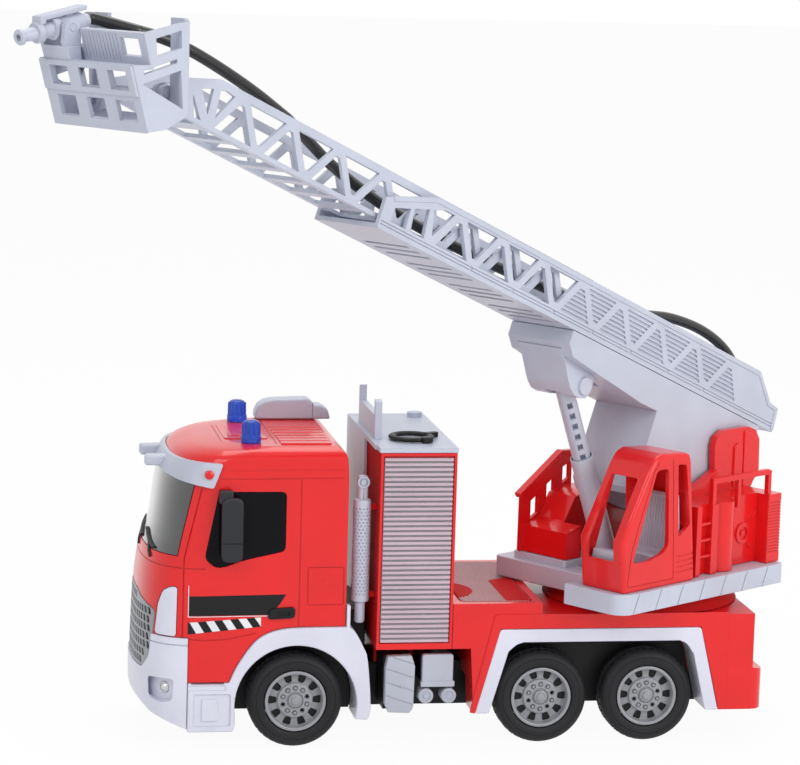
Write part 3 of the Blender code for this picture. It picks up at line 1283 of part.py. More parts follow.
frame = frame_empty("engine_frame", None, (0.0, 0.0, -CHASSIS_CLEARANCE))
build_chassis(frame)
build_wheels(frame)
build_cab(frame)
build_cab_top(frame)
build_fenders(frame)
build_tower(frame)
build_rear_body(frame)

turntable = frame_empty("turntable_axis", frame, (TURNTABLE_X, 0.0, 0.0), TURN_ANGLE)
build_platform(turntable)
build_housing(turntable)
build_operator_cab(turntable)

boom_axis = frame_empty("boom_axis", turntable, (HINGE_X, 0.0, HINGE_Z), BOOM_ANGLE, "Y")
build_boom(boom_axis)
build_fly(boom_axis)
pin_x = HINGE_X - LIFT_PIN_A * math.cos(BOOM_ANGLE)
pin_z = HINGE_Z + LIFT_PIN_A * math.sin(BOOM_ANGLE)
reach_x = -FOOT_S - pin_x
reach_z = FOOT_Z - pin_z
lift_turn = math.atan2(-reach_x, -reach_z)
lift_axis = frame_empty("lift_axis", boom_axis, (-LIFT_PIN_A, 0.0, 0.0), lift_turn - BOOM_ANGLE, "Y")
build_lift_cylinder(lift_axis, math.hypot(reach_x, reach_z))

basket_axis = frame_empty("basket_axis", boom_axis, (-BASKET_PIVOT_A, 0.0, BASKET_PIVOT_H), -BOOM_ANGLE, "Y")
build_basket(basket_axis)
cannon_axis = frame_empty("cannon_axis", basket_axis, (CANNON_X, CANNON_Y, CANNON_Z))
build_cannon(cannon_axis)
build_hose(boom_axis, basket_axis)
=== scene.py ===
"""Looks of the toy fire engine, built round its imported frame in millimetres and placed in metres."""

import json
import logging
import math
from dataclasses import dataclass
from enum import Enum
from typing import Callable, Iterable, Sequence

import bmesh
import bpy
from mathutils import Matrix, Vector

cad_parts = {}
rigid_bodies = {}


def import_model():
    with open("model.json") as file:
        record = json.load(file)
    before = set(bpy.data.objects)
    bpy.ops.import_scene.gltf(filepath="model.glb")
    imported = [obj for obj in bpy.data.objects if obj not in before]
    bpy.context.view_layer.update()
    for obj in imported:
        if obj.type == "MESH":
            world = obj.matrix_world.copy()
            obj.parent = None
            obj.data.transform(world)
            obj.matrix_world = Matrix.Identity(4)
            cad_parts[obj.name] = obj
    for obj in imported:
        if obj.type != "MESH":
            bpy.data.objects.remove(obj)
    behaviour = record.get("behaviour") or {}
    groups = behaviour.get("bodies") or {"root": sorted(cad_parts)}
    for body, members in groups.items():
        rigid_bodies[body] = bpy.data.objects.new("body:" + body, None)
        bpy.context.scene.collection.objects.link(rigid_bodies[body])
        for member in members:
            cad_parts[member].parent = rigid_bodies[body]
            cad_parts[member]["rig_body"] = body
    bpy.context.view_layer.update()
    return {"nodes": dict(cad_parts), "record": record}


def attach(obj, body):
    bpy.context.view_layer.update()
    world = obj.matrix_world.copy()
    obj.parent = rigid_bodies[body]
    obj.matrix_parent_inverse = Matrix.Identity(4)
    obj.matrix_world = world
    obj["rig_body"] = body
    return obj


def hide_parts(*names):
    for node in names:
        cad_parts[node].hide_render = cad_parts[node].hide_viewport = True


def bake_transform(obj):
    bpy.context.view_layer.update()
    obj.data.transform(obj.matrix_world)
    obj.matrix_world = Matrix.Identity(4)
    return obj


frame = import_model()
LOG = logging.getLogger("fire_engine")
Point = tuple[float, float]
Place = tuple[float, float, float]
Mesh = bpy.types.Mesh
Tree = bpy.types.NodeTree
Socket = bpy.types.NodeSocket
SIDES: tuple[tuple[str, int], ...] = (("left", -1), ("right", 1))
# One millimetre in metres, and the clearance between pieces in millimetres
MM = 0.001
GAP = 0.3
# Largest angle in degrees that is shaded smooth, and how a finish varies over its surface
SMOOTH = 34.0
MOTTLE_SCALE = 38.0
ROUGHNESS_SPREAD = 0.07
EDGE_RADIUS = 0.00045
EDGE_WEAR = 0.04


class Grain(Enum):
    """Surface kinds that share one way of varying."""

    MOULDED = "moulded"
    RUBBER = "rubber"
    METAL = "metal"
    LENS = "lens"


@dataclass(frozen=True)
class Finish:
    """One finish of the toy, with its own procedural material.

    Args:
        name: Name of the material.
        slot: Slot of the record that the finish stands for.
        colour: Linear base colour.
        roughness: Middle roughness of the surface.
        grain: Way in which the surface varies.
        specular: Strength of the surface's own gloss.
        coat: Weight of a clear coat.
    """

    name: str
    slot: str
    colour: Place
    roughness: float
    grain: Grain = Grain.MOULDED
    specular: float = 0.5
    coat: float = 0.0

    def material(self) -> bpy.types.Material:
        """Return the material, made on first use."""
        found = bpy.data.materials.get(self.name)
        return found or self._made()

    def _made(self) -> bpy.types.Material:
        """Build the node tree of the material."""
        material = bpy.data.materials.new(self.name)
        material.use_nodes = True
        tree = material.node_tree
        shader = tree.nodes["Principled BSDF"]
        place = tree.nodes.new("ShaderNodeTexCoord").outputs["Object"]
        edge = tree.nodes.new("ShaderNodeBevel")
        edge.samples = 4
        edge.inputs["Radius"].default_value = EDGE_RADIUS
        rubber = self.grain is Grain.RUBBER
        mottle = self._noise(tree, place, MOTTLE_SCALE, 3.0)
        fine = self._noise(tree, place, 2600.0 if rubber else 1500.0, 2.0)
        self._colour(tree, shader, mottle, edge)
        rough = tree.nodes.new("ShaderNodeMapRange")
        rough.inputs["To Min"].default_value = max(0.02, self.roughness - ROUGHNESS_SPREAD)
        rough.inputs["To Max"].default_value = self.roughness + ROUGHNESS_SPREAD
        tree.links.new(mottle, rough.inputs["Value"])
        tree.links.new(rough.outputs["Result"], shader.inputs["Roughness"])
        bump = tree.nodes.new("ShaderNodeBump")
        bump.inputs["Strength"].default_value = 0.5 if rubber else 0.22
        bump.inputs["Distance"].default_value = 0.00012 if rubber else 0.00005
        tree.links.new(fine, bump.inputs["Height"])
        tree.links.new(edge.outputs["Normal"], bump.inputs["Normal"])
        tree.links.new(bump.outputs["Normal"], shader.inputs["Normal"])
        values = {"Specular IOR Level": self.specular, "Coat Weight": self.coat, "Coat Roughness": 0.05}
        if self.grain is Grain.METAL:
            values["Metallic"] = 1.0
        if self.grain is Grain.LENS:
            values |= {"Transmission Weight": 0.55, "IOR": 1.45}
        for label, value in values.items():
            shader.inputs[label].default_value = value
        return material

    def _noise(self, tree: Tree, place: Socket, scale: float, detail: float) -> Socket:
        """Return a noise value on object coordinates.

        Args:
            tree: Tree of the material.
            place: Socket with the coordinates.
            scale: Scale of the noise per metre.
            detail: Detail of the noise.

        Returns:
            The noise's value socket.
        """
        noise = tree.nodes.new("ShaderNodeTexNoise")
        noise.inputs["Scale"].default_value = scale
        noise.inputs["Detail"].default_value = detail
        tree.links.new(place, noise.inputs["Vector"])
        return noise.outputs["Fac"]

    def _colour(self, tree: Tree, shader: bpy.types.Node, mottle: Socket, edge: bpy.types.Node) -> None:
        """Vary the colour slightly and lighten worn edges.

        Args:
            tree: Tree of the material.
            shader: Principled shader.
            mottle: Slow noise.
            edge: Node that gives the rounded normal.
        """
        ramp = tree.nodes.new("ShaderNodeValToRGB")
        low, high = ramp.color_ramp.elements
        low.position = 0.25
        high.position = 0.75
        low.color = (*[channel * 0.93 for channel in self.colour], 1.0)
        high.color = (*[min(1.0, channel * 1.05) for channel in self.colour], 1.0)
        tree.links.new(mottle, ramp.inputs["Fac"])
        flat = tree.nodes.new("ShaderNodeNewGeometry").outputs["Normal"]
        match = tree.nodes.new("ShaderNodeVectorMath")
        match.operation = "DOT_PRODUCT"
        tree.links.new(edge.outputs["Normal"], match.inputs[0])
        tree.links.new(flat, match.inputs[1])
        worn = tree.nodes.new("ShaderNodeMapRange")
        worn.inputs["From Min"].default_value = 0.995
        worn.inputs["From Max"].default_value = 0.85
        worn.inputs["To Max"].default_value = EDGE_WEAR
        tree.links.new(match.outputs["Value"], worn.inputs["Value"])
        mix = tree.nodes.new("ShaderNodeMix")
        mix.data_type = "RGBA"
        tree.links.new(worn.outputs["Result"], mix.inputs["Factor"])
        colours = {socket.name: socket for socket in mix.inputs if socket.type == "RGBA"}
        tree.links.new(ramp.outputs["Color"], colours["A"])
        colours["B"].default_value = (*[0.75 * channel + 0.25 for channel in self.colour], 1.0)
        mixed = next(socket for socket in mix.outputs if socket.type == "RGBA")
        tree.links.new(mixed, shader.inputs["Base Color"])


RED = Finish("red moulding", "red_plastic", (0.76, 0.009, 0.011), 0.30, specular=0.22, coat=0.5)
# Darker copy of the red moulding: painted shade for red surfaces in shadow, between the tread's ribs and round the
# turntable's foot
PAINTED_SHADE_RED = Finish("red moulding with painted shade", "red_plastic", (0.48, 0.008, 0.009), 0.60, specular=0.08)
WHITE = Finish("white moulding", "white_plastic", (0.70, 0.71, 0.82), 0.32)
GREY = Finish("ladder grey moulding", "grey_plastic", (0.52, 0.55, 0.65), 0.36)
PALE = Finish("pale grey moulding", "pale_grey_plastic", (0.46, 0.48, 0.56), 0.38)
SHUTTER = Finish("shutter grey", "shutter_grey_plastic", (0.56, 0.43, 0.49), 0.32)
# Pale pinkish grey for the tread's ribs: a painted highlight for the gloss on ridges of red plastic
TREAD_HIGHLIGHT = Finish("tread with painted highlight", "tread_grey_plastic", (0.58, 0.46, 0.49), 0.36)
DARK = Finish("dark grey moulding", "dark_grey_plastic", (0.022, 0.023, 0.028), 0.36, specular=0.3)
RIM = Finish("rim grey", "rim_grey_plastic", (0.30, 0.31, 0.33), 0.30)
BLACK = Finish("black moulding", "black_plastic", (0.009, 0.009, 0.010), 0.42, specular=0.25)
HOSE = Finish("black hose", "hose_rubber", (0.009, 0.009, 0.010), 0.24, specular=0.6)
TYRE = Finish("tyre black", "tyre", (0.012, 0.012, 0.014), 0.60, Grain.RUBBER, specular=0.3)
GLAZING = Finish("black glazing", "dark_glazing", (0.006, 0.006, 0.008), 0.12, specular=0.08)
SCREEN = Finish("windscreen glazing", "dark_glazing", (0.010, 0.011, 0.012), 0.10, specular=0.9, coat=1.0)
BLUE = Finish("blue lens", "blue_lens", (0.020, 0.12, 0.80), 0.08, Grain.LENS)
STEEL = Finish("bare steel", "steel", (0.60, 0.60, 0.62), 0.28, Grain.METAL)
PRINT_WHITE = Finish("white print", "white_plastic", (0.80, 0.80, 0.84), 0.40)


def local(turn: float, axis: str, *place: float) -> Matrix:
    """Return a frame at a place in millimetres, turned by degrees about one axis."""
    return Matrix.Translation(place) @ Matrix.Rotation(math.radians(turn), 4, axis)


# Frames of the part's source, in millimetres and degrees
FLOOR = -14.0
TURRET_X = 85.4
TURRET_TURN = 35.5
HINGE = (46.0, 138.0)
BOOM_ANGLE = 22.8
BASKET_HINGE = (-445.0, 0.0, 32.0)
LIFT_PIN = 122.0
LIFT_FOOT = (-24.5, 84.0)
CANNON_PIVOT = (-26.0, 20.0, 26.8)
CANNON_DIP = 11.0
CANNON_TAIL = 14.5


class Seat(Enum):
    """Frames that pieces are drawn in, as in the part's source."""

    TRUCK = "truck"
    TURRET = "turret"
    BOOM = "boom"
    LIFT = "lift"
    BASKET = "basket"
    CANNON = "cannon"

    def matrix(self) -> Matrix:
        """Return the frame in millimetres above the chassis datum."""
        truck = Matrix.Translation((0.0, 0.0, FLOOR))
        if self is Seat.TRUCK:
            return truck
        turret = truck @ local(TURRET_TURN, "Z", TURRET_X, 0.0, 0.0)
        if self is Seat.TURRET:
            return turret
        boom = turret @ local(BOOM_ANGLE, "Y", HINGE[0], 0.0, HINGE[1])
        if self is Seat.BOOM:
            return boom
        if self is Seat.LIFT:
            rise = math.radians(BOOM_ANGLE)
            reach_x = LIFT_FOOT[0] - (HINGE[0] - LIFT_PIN * math.cos(rise))
            reach_z = LIFT_FOOT[1] - (HINGE[1] + LIFT_PIN * math.sin(rise))
            turn = math.degrees(math.atan2(-reach_x, -reach_z)) - BOOM_ANGLE
            return boom @ local(turn, "Y", -LIFT_PIN, 0.0, 0.0)
        basket = boom @ local(-BOOM_ANGLE, "Y", *BASKET_HINGE)
        if self is Seat.BASKET:
            return basket
        return basket @ Matrix.Translation(CANNON_PIVOT)


def arc(centre: Point, radius: float, start: float, end: float, count: int) -> list[Point]:
    """Return points on an arc between two angles in degrees, both ends included."""
    turns = [math.radians(start + (end - start) * step / count) for step in range(count + 1)]
    return [(centre[0] + radius * math.cos(turn), centre[1] + radius * math.sin(turn)) for turn in turns]


def rectangle(low_a: float, high_a: float, low_b: float, high_b: float) -> list[Point]:
    """Return the corners of an upright rectangle."""
    return [(low_a, low_b), (high_a, low_b), (high_a, high_b), (low_a, high_b)]


def rounded(points: Sequence[Point], radius: float, steps: int = 4) -> list[Point]:
    """Round the corners of an outline.

    Args:
        points: Corners in order.
        radius: Length cut from each edge at a corner.
        steps: Number of stretches in each corner.

    Returns:
        The outline with its corners as curves.
    """
    result: list[Point] = []
    for index, here in enumerate(points):
        corner = Vector(here)
        before = Vector(points[index - 1])
        after = Vector(points[(index + 1) % len(points)])
        reach = min(radius, 0.45 * (before - corner).length, 0.45 * (after - corner).length)
        first = corner + (before - corner).normalized() * reach
        last = corner + (after - corner).normalized() * reach
        for step in range(steps + 1):
            t = step / steps
            result.append(tuple(first * (1 - t) ** 2 + corner * (2 * t * (1 - t)) + last * t * t))
    return result


def span(side: int, inner: float, outer: float) -> tuple[float, float]:
    """Return ordered limits of a stretch out to one side."""
    return (inner, outer) if side > 0 else (-outer, -inner)


def linked(data: bpy.types.ID, name: str = "work") -> bpy.types.Object:
    """Return a new object in the scene.

    Args:
        data: Mesh, lamp or camera that it holds.
        name: Name of the object.

    Returns:
        The object at the origin.
    """
    item = bpy.data.objects.new(name, data)
    bpy.context.scene.collection.objects.link(item)
    return item


def plain(item: bpy.types.Object) -> Mesh:
    """Return the evaluated mesh of a working object and remove the object."""
    bpy.context.view_layer.update()
    graph = bpy.context.evaluated_depsgraph_get()
    mesh = bpy.data.meshes.new_from_object(item.evaluated_get(graph))
    bpy.data.objects.remove(item, do_unlink=True)
    return mesh


def solid(faces: Callable[[bmesh.types.BMesh], None]) -> Mesh:
    """Return a mesh made by a function on an empty bmesh, with its faces outward."""
    work = bmesh.new()
    faces(work)
    bmesh.ops.remove_doubles(work, verts=work.verts, dist=1e-4)
    bmesh.ops.recalc_face_normals(work, faces=work.faces)
    mesh = bpy.data.meshes.new("shape")
    work.to_mesh(mesh)
    work.free()
    return mesh


def prism(plane: str, outline: Sequence[Point], low: float, high: float) -> Mesh:
    """Return a flat outline made solid between two places along its third axis.

    Args:
        plane: XZ, YZ or XY.
        outline: Corners in order.
        low: Start along the third axis.
        high: End along the third axis.

    Returns:
        The closed mesh.
    """
    order = {"XZ": (0, 2, 1), "YZ": (2, 0, 1), "XY": (0, 1, 2)}[plane]

    def corner(point: Point, depth: float) -> tuple[float, ...]:
        parts = (point[0], point[1], depth)
        return tuple(parts[index] for index in order)

    def faces(work: bmesh.types.BMesh) -> None:
        first = [work.verts.new(corner(point, low)) for point in outline]
        last = [work.verts.new(corner(point, high)) for point in outline]
        work.faces.new(first)
        work.faces.new(last)
        for index in range(len(outline)):
            after = (index + 1) % len(outline)
            work.faces.new((first[index], first[after], last[after], last[index]))

    return solid(faces)


def block(low: Sequence[float], high: Sequence[float]) -> Mesh:
    """Return a cuboid between two corners."""
    return prism("XY", rectangle(low[0], high[0], low[1], high[1]), low[2], high[2])


def turned(profile: Sequence[Point], steps: int = 64, closed: bool = False) -> Mesh:
    """Return a profile of radius and height turned about Z.

    Args:
        profile: Points of radius and height.
        steps: Number of stretches round the axis.
        closed: Whether the profile's end meets its start.

    Returns:
        The new mesh.
    """

    def faces(work: bmesh.types.BMesh) -> None:
        rings = []
        for step in range(steps):
            angle = math.tau * step / steps
            rings.append([work.verts.new((r * math.cos(angle), r * math.sin(angle), z)) for r, z in profile])
        pairs = len(profile) if closed else len(profile) - 1
        for step in range(steps):
            here = rings[step]
            there = rings[(step + 1) % steps]
            for index in range(pairs):
                after = (index + 1) % len(profile)
                if profile[index][0] < 1e-9 and profile[after][0] < 1e-9:
                    continue
                work.faces.new((here[index], here[after], there[after], there[index]))
        bmesh.ops.remove_doubles(work, verts=work.verts, dist=1e-4)
        bmesh.ops.dissolve_degenerate(work, edges=work.edges, dist=1e-5)

    return solid(faces)


def rod(start: Sequence[float], end: Sequence[float], radius: float, steps: int = 28,
        soft: float = 0.0) -> Mesh:
    """Return a round bar between two points, with softened ends.

    Args:
        start: Middle of the first end.
        end: Middle of the other end.
        radius: Radius in millimetres.
        steps: Number of stretches round the axis.
        soft: Width of the slant at each end.

    Returns:
        The new mesh.
    """
    length = (Vector(end) - Vector(start)).length
    ends = [(0.0, 0.0), (radius - soft, 0.0), (radius, soft), (radius, length - soft),
            (radius - soft, length), (0.0, length)]
    mesh = turned(ends, steps)
    turn = (Vector(end) - Vector(start)).to_track_quat("Z", "Y").to_matrix().to_4x4()
    mesh.transform(Matrix.Translation(start) @ turn)
    return mesh


def loft(rings: Sequence[Sequence[Sequence[float]]]) -> Mesh:
    """Return a closed body through rings of equal point counts."""

    def faces(work: bmesh.types.BMesh) -> None:
        loops = [[work.verts.new(point) for point in ring] for ring in rings]
        for lower, upper in zip(loops, loops[1:]):
            for index in range(len(lower)):
                after = (index + 1) % len(lower)
                work.faces.new((lower[index], lower[after], upper[after], upper[index]))
        work.faces.new(loops[0])
        work.faces.new(loops[-1])

    return solid(faces)


def tube(route: Sequence[Vector], radius: float, sides: int = 20) -> Mesh:
    """Return a round tube along a route, closed at both ends.

    Args:
        route: Points along the middle.
        radius: Radius in millimetres.
        sides: Number of faces round the tube.

    Returns:
        The new mesh.
    """
    rings = []
    side = Vector((0.0, 1.0, 0.0))
    for index, here in enumerate(route):
        ahead = (route[min(index + 1, len(route) - 1)] - route[max(index - 1, 0)]).normalized()
        side = (side - ahead * side.dot(ahead)).normalized()
        up = ahead.cross(side)
        turns = [math.tau * step / sides for step in range(sides)]
        rings.append([here + (side * math.cos(turn) + up * math.sin(turn)) * radius for turn in turns])
    return loft(rings)


def smooth_route(points: Sequence[Sequence[float]], per_stretch: int = 8) -> list[Vector]:
    """Return closely spaced points on a smooth curve through route points.

    Args:
        points: Points in order.
        per_stretch: Points for each stretch.

    Returns:
        The points in order.
    """
    route = [Vector(point) for point in points]
    ends = [2 * route[0] - route[1], *route, 2 * route[-1] - route[-2]]
    fine: list[Vector] = []
    for index in range(1, len(ends) - 2):
        before, here, there, after = ends[index - 1:index + 3]
        for part in range(per_stretch):
            t = part / per_stretch
            bend = 2 * before - 5 * here + 4 * there - after
            twist = 3 * here - before - 3 * there + after
            fine.append(0.5 * (2 * here + (there - before) * t + bend * t * t + twist * t ** 3))
    return [*fine, route[-1]]


def combined(first: Mesh, second: Mesh, operation: str) -> Mesh:
    """Return two meshes joined by an exact Boolean.

    Args:
        first: Body to start from.
        second: The other body.
        operation: UNION, DIFFERENCE or INTERSECT.

    Returns:
        The new mesh.
    """
    target = linked(first)
    tool = linked(second)
    modifier = target.modifiers.new("combine", "BOOLEAN")
    modifier.object = tool
    modifier.operation = operation
    modifier.solver = "EXACT"
    mesh = plain(target)
    bpy.data.objects.remove(tool, do_unlink=True)
    return mesh


def joined(first: Mesh, *others: Mesh) -> Mesh:
    """Return one body made of overlapping bodies."""
    for other in others:
        first = combined(first, other, "UNION")
    return first


def cut(first: Mesh, *others: Mesh) -> Mesh:
    """Return a body with cutters taken away."""
    for other in others:
        first = combined(first, other, "DIFFERENCE")
    return first


def common(first: Mesh, second: Mesh) -> Mesh:
    """Return what two bodies share."""
    return combined(first, second, "INTERSECT")


def gathered(meshes: Iterable[Mesh]) -> Mesh:
    """Return separate bodies in one mesh."""
    work = bmesh.new()
    for part in meshes:
        work.from_mesh(part)
    mesh = bpy.data.meshes.new("shape")
    work.to_mesh(mesh)
    work.free()
    return mesh


def softened(mesh: Mesh, width: float, segments: int = 3, angle: float = 32.0) -> Mesh:
    """Return a body with its edges rounded.

    Args:
        mesh: Shape to work on.
        width: Width in millimetres.
        segments: Faces across each rounded edge.
        angle: Smallest angle in degrees that is rounded.

    Returns:
        The new mesh.
    """
    item = linked(mesh)
    bevel = item.modifiers.new("edges", "BEVEL")
    bevel.width = width
    bevel.segments = segments
    bevel.limit_method = "ANGLE"
    bevel.angle_limit = math.radians(angle)
    return plain(item)


def shifted(mesh: Mesh, x: float = 0.0, y: float = 0.0, z: float = 0.0) -> Mesh:
    """Return a copy of a mesh at another place."""
    copy = mesh.copy()
    copy.transform(Matrix.Translation((x, y, z)))
    return copy


def calculated(tree: Tree, operation: str, *terms: Socket | float) -> Socket:
    """Return the result of a maths node.

    Args:
        tree: Tree to add to.
        operation: What the node works out.
        *terms: Sockets or numbers that it takes.

    Returns:
        The node's value socket.
    """
    node = tree.nodes.new("ShaderNodeMath")
    node.operation = operation
    for socket, term in zip(node.inputs, terms):
        if isinstance(term, Socket):
            tree.links.new(term, socket)
        else:
            socket.default_value = term
    return node.outputs["Value"]


class Repeats:
    """Geometry node trees that set an item along a line or round a ring."""

    def __init__(self) -> None:
        """Build both trees."""
        self.line = self._tree("along a line", "GeometryNodeMeshLine", "Step", "NodeSocketVector")
        self.ring = self._tree("round a ring", "GeometryNodeMeshCircle", "Radius", "NodeSocketFloat")

    def _tree(self, name: str, points: str, size: str, kind: str) -> Tree:
        """Build one tree.

        Args:
            name: Name of the tree.
            points: Node type that makes the points.
            size: Name of the input for the spacing.
            kind: Socket type of that input.

        Returns:
            The tree, ending in realised instances with their material set.
        """
        tree = bpy.data.node_groups.new(name, "GeometryNodeTree")
        tree.interface.new_socket("Geometry", in_out="OUTPUT", socket_type="NodeSocketGeometry")
        for label, socket in (("Geometry", "NodeSocketGeometry"), ("Item", "NodeSocketObject"),
                              ("Count", "NodeSocketInt"), (size, kind), ("Finish", "NodeSocketMaterial")):
            tree.interface.new_socket(label, in_out="INPUT", socket_type=socket)
        inputs = tree.nodes.new("NodeGroupInput").outputs
        result = tree.nodes.new("NodeGroupOutput").inputs["Geometry"]
        source = tree.nodes.new(points)
        item = tree.nodes.new("GeometryNodeObjectInfo")
        instances = tree.nodes.new("GeometryNodeInstanceOnPoints")
        real = tree.nodes.new("GeometryNodeRealizeInstances")
        dress = tree.nodes.new("GeometryNodeSetMaterial")
        tree.links.new(inputs["Count"], source.inputs["Vertices" if "Circle" in points else "Count"])
        tree.links.new(inputs[size], source.inputs["Radius" if "Circle" in points else "Offset"])
        tree.links.new(inputs["Item"], item.inputs["Object"])
        tree.links.new(source.outputs["Mesh"], instances.inputs["Points"])
        tree.links.new(item.outputs["Geometry"], instances.inputs["Instance"])
        if "Circle" in points:
            self._turn(tree, inputs["Count"], instances.inputs["Rotation"])
        tree.links.new(instances.outputs["Instances"], real.inputs["Geometry"])
        tree.links.new(real.outputs["Geometry"], dress.inputs["Geometry"])
        tree.links.new(inputs["Finish"], dress.inputs["Material"])
        tree.links.new(dress.outputs["Geometry"], result)
        return tree

    def _turn(self, tree: Tree, count: Socket, rotation: Socket) -> None:
        """Turn each item of a ring to face outwards.

        Args:
            tree: Tree of the ring.
            count: Socket with the number of items.
            rotation: Socket that takes the turn.
        """
        index = tree.nodes.new("GeometryNodeInputIndex").outputs["Index"]
        angle = calculated(tree, "MULTIPLY", calculated(tree, "DIVIDE", index, count), math.tau)
        upright = tree.nodes.new("ShaderNodeCombineXYZ")
        tree.links.new(angle, upright.inputs["Z"])
        tree.links.new(upright.outputs["Vector"], rotation)

    def _run(self, tree: Tree, item: Mesh, finish: Finish, **values: object) -> Mesh:
        """Run a tree on a working object and return its plain mesh.

        Args:
            tree: Tree to run.
            item: Mesh that repeats.
            finish: Finish of the items.
            **values: Inputs by name.

        Returns:
            The realised mesh.
        """
        model = linked(item)
        holder = linked(bpy.data.meshes.new("points"))
        modifier = holder.modifiers.new("repeat", "NODES")
        modifier.node_group = tree
        given = {"Item": model, "Finish": finish.material(), **values}
        for socket in tree.interface.items_tree:
            if socket.item_type == "SOCKET" and socket.in_out == "INPUT" and socket.name in given:
                modifier[socket.identifier] = given[socket.name]
        mesh = plain(holder)
        bpy.data.objects.remove(model, do_unlink=True)
        return mesh

    def along(self, item: Mesh, count: int, step: Sequence[float], finish: Finish) -> Mesh:
        """Return an item repeated along a line, the first one where it is."""
        return self._run(self.line, item, finish, Count=count, Step=Vector(step))

    def around(self, item: Mesh, count: int, radius: float, finish: Finish) -> Mesh:
        """Return an item repeated round the Z axis, facing outwards."""
        return self._run(self.ring, item, finish, Count=count, Radius=radius)


REPEATS = Repeats()


def dressed(mesh: Mesh, finish: Finish, smooth: float) -> Mesh:
    """Return a mesh with its material and smooth shading up to an angle, large faces kept flat.

    Args:
        mesh: Shape to work on.
        finish: Finish of the shape.
        smooth: Largest angle in degrees that is shaded smooth.

    Returns:
        The new mesh.
    """
    mesh.materials.clear()
    mesh.materials.append(finish.material())
    mesh.polygons.foreach_set("material_index", [0] * len(mesh.polygons))
    mesh.shade_smooth()
    mesh.set_sharp_from_angle(angle=math.radians(smooth))
    item = linked(mesh)
    flat = item.modifiers.new("flat", "WEIGHTED_NORMAL")
    flat.keep_sharp = True
    return plain(item)


def piece(name: str, mesh: Mesh, finish: Finish, body: str = "truck", seat: Seat = Seat.TRUCK,
          replaces: Sequence[str] = (), smooth: float = SMOOTH) -> bpy.types.Object:
    """Place a finished piece and tie it to its body.

    Args:
        name: Name of the piece.
        mesh: Shape in millimetres in the seat's frame.
        finish: Its finish.
        body: Body that it moves with.
        seat: Frame that the shape is drawn in.
        replaces: Nodes that it stands for.
        smooth: Largest angle in degrees that is shaded smooth.

    Returns:
        The object at the origin.
    """
    mesh.transform(Matrix.Scale(MM, 4) @ seat.matrix())
    mesh = dressed(mesh, finish, smooth)
    mesh.name = name
    item = linked(mesh, name)
    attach(item, body)
    if replaces:
        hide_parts(*replaces)
    LOG.info("%s: %d faces on %s", name, len(mesh.polygons), body)
    return item


def carried(node: str, seat: Seat) -> Mesh:
    """Return a merged copy of a node's mesh in millimetres in a seat's frame.

    Args:
        node: Node to copy.
        seat: Frame that the copy is drawn in.

    Returns:
        The new mesh.
    """
    source = frame["nodes"][node].data
    work = bmesh.new()
    points = [work.verts.new(vertex.co) for vertex in source.vertices]
    for face in source.polygons:
        work.faces.new([points[index] for index in face.vertices])
    bmesh.ops.remove_doubles(work, verts=work.verts, dist=2e-6)
    bmesh.ops.dissolve_limit(work, angle_limit=math.radians(0.6), verts=work.verts, edges=work.edges)
    mesh = bpy.data.meshes.new(node)
    work.to_mesh(mesh)
    work.free()
    mesh.transform(seat.matrix().inverted() @ Matrix.Scale(1.0 / MM, 4))
    return mesh


def stand_in(node: str, mesh: Mesh, finish: Finish, body: str = "truck", seat: Seat = Seat.TRUCK,
             smooth: float = SMOOTH) -> bpy.types.Object:
    """Place a piece that stands for one node and is named after it.

    Args:
        node: Node that it stands for.
        mesh: Shape in millimetres in the seat's frame.
        finish: Its finish.
        body: Body that it moves with.
        seat: Frame that the shape is drawn in.
        smooth: Largest angle in degrees that is shaded smooth.

    Returns:
        The object at the origin.
    """
    return piece(node + "_form", mesh, finish, body, seat, [node], smooth)


def flank(outline: Sequence[Point], side: int, inner: float, outer: float, soft: float = 0.0) -> Mesh:
    """Return an outline in side view made solid out to one side.

    Args:
        outline: Corners in order.
        side: Side of the truck, minus for left.
        inner: Distance of its inner face from the middle.
        outer: Distance of its outer face from the middle.
        soft: Width of its rounded edges.

    Returns:
        The closed mesh.
    """
    mesh = prism("XZ", outline, *span(side, inner, outer))
    return softened(mesh, soft) if soft else mesh


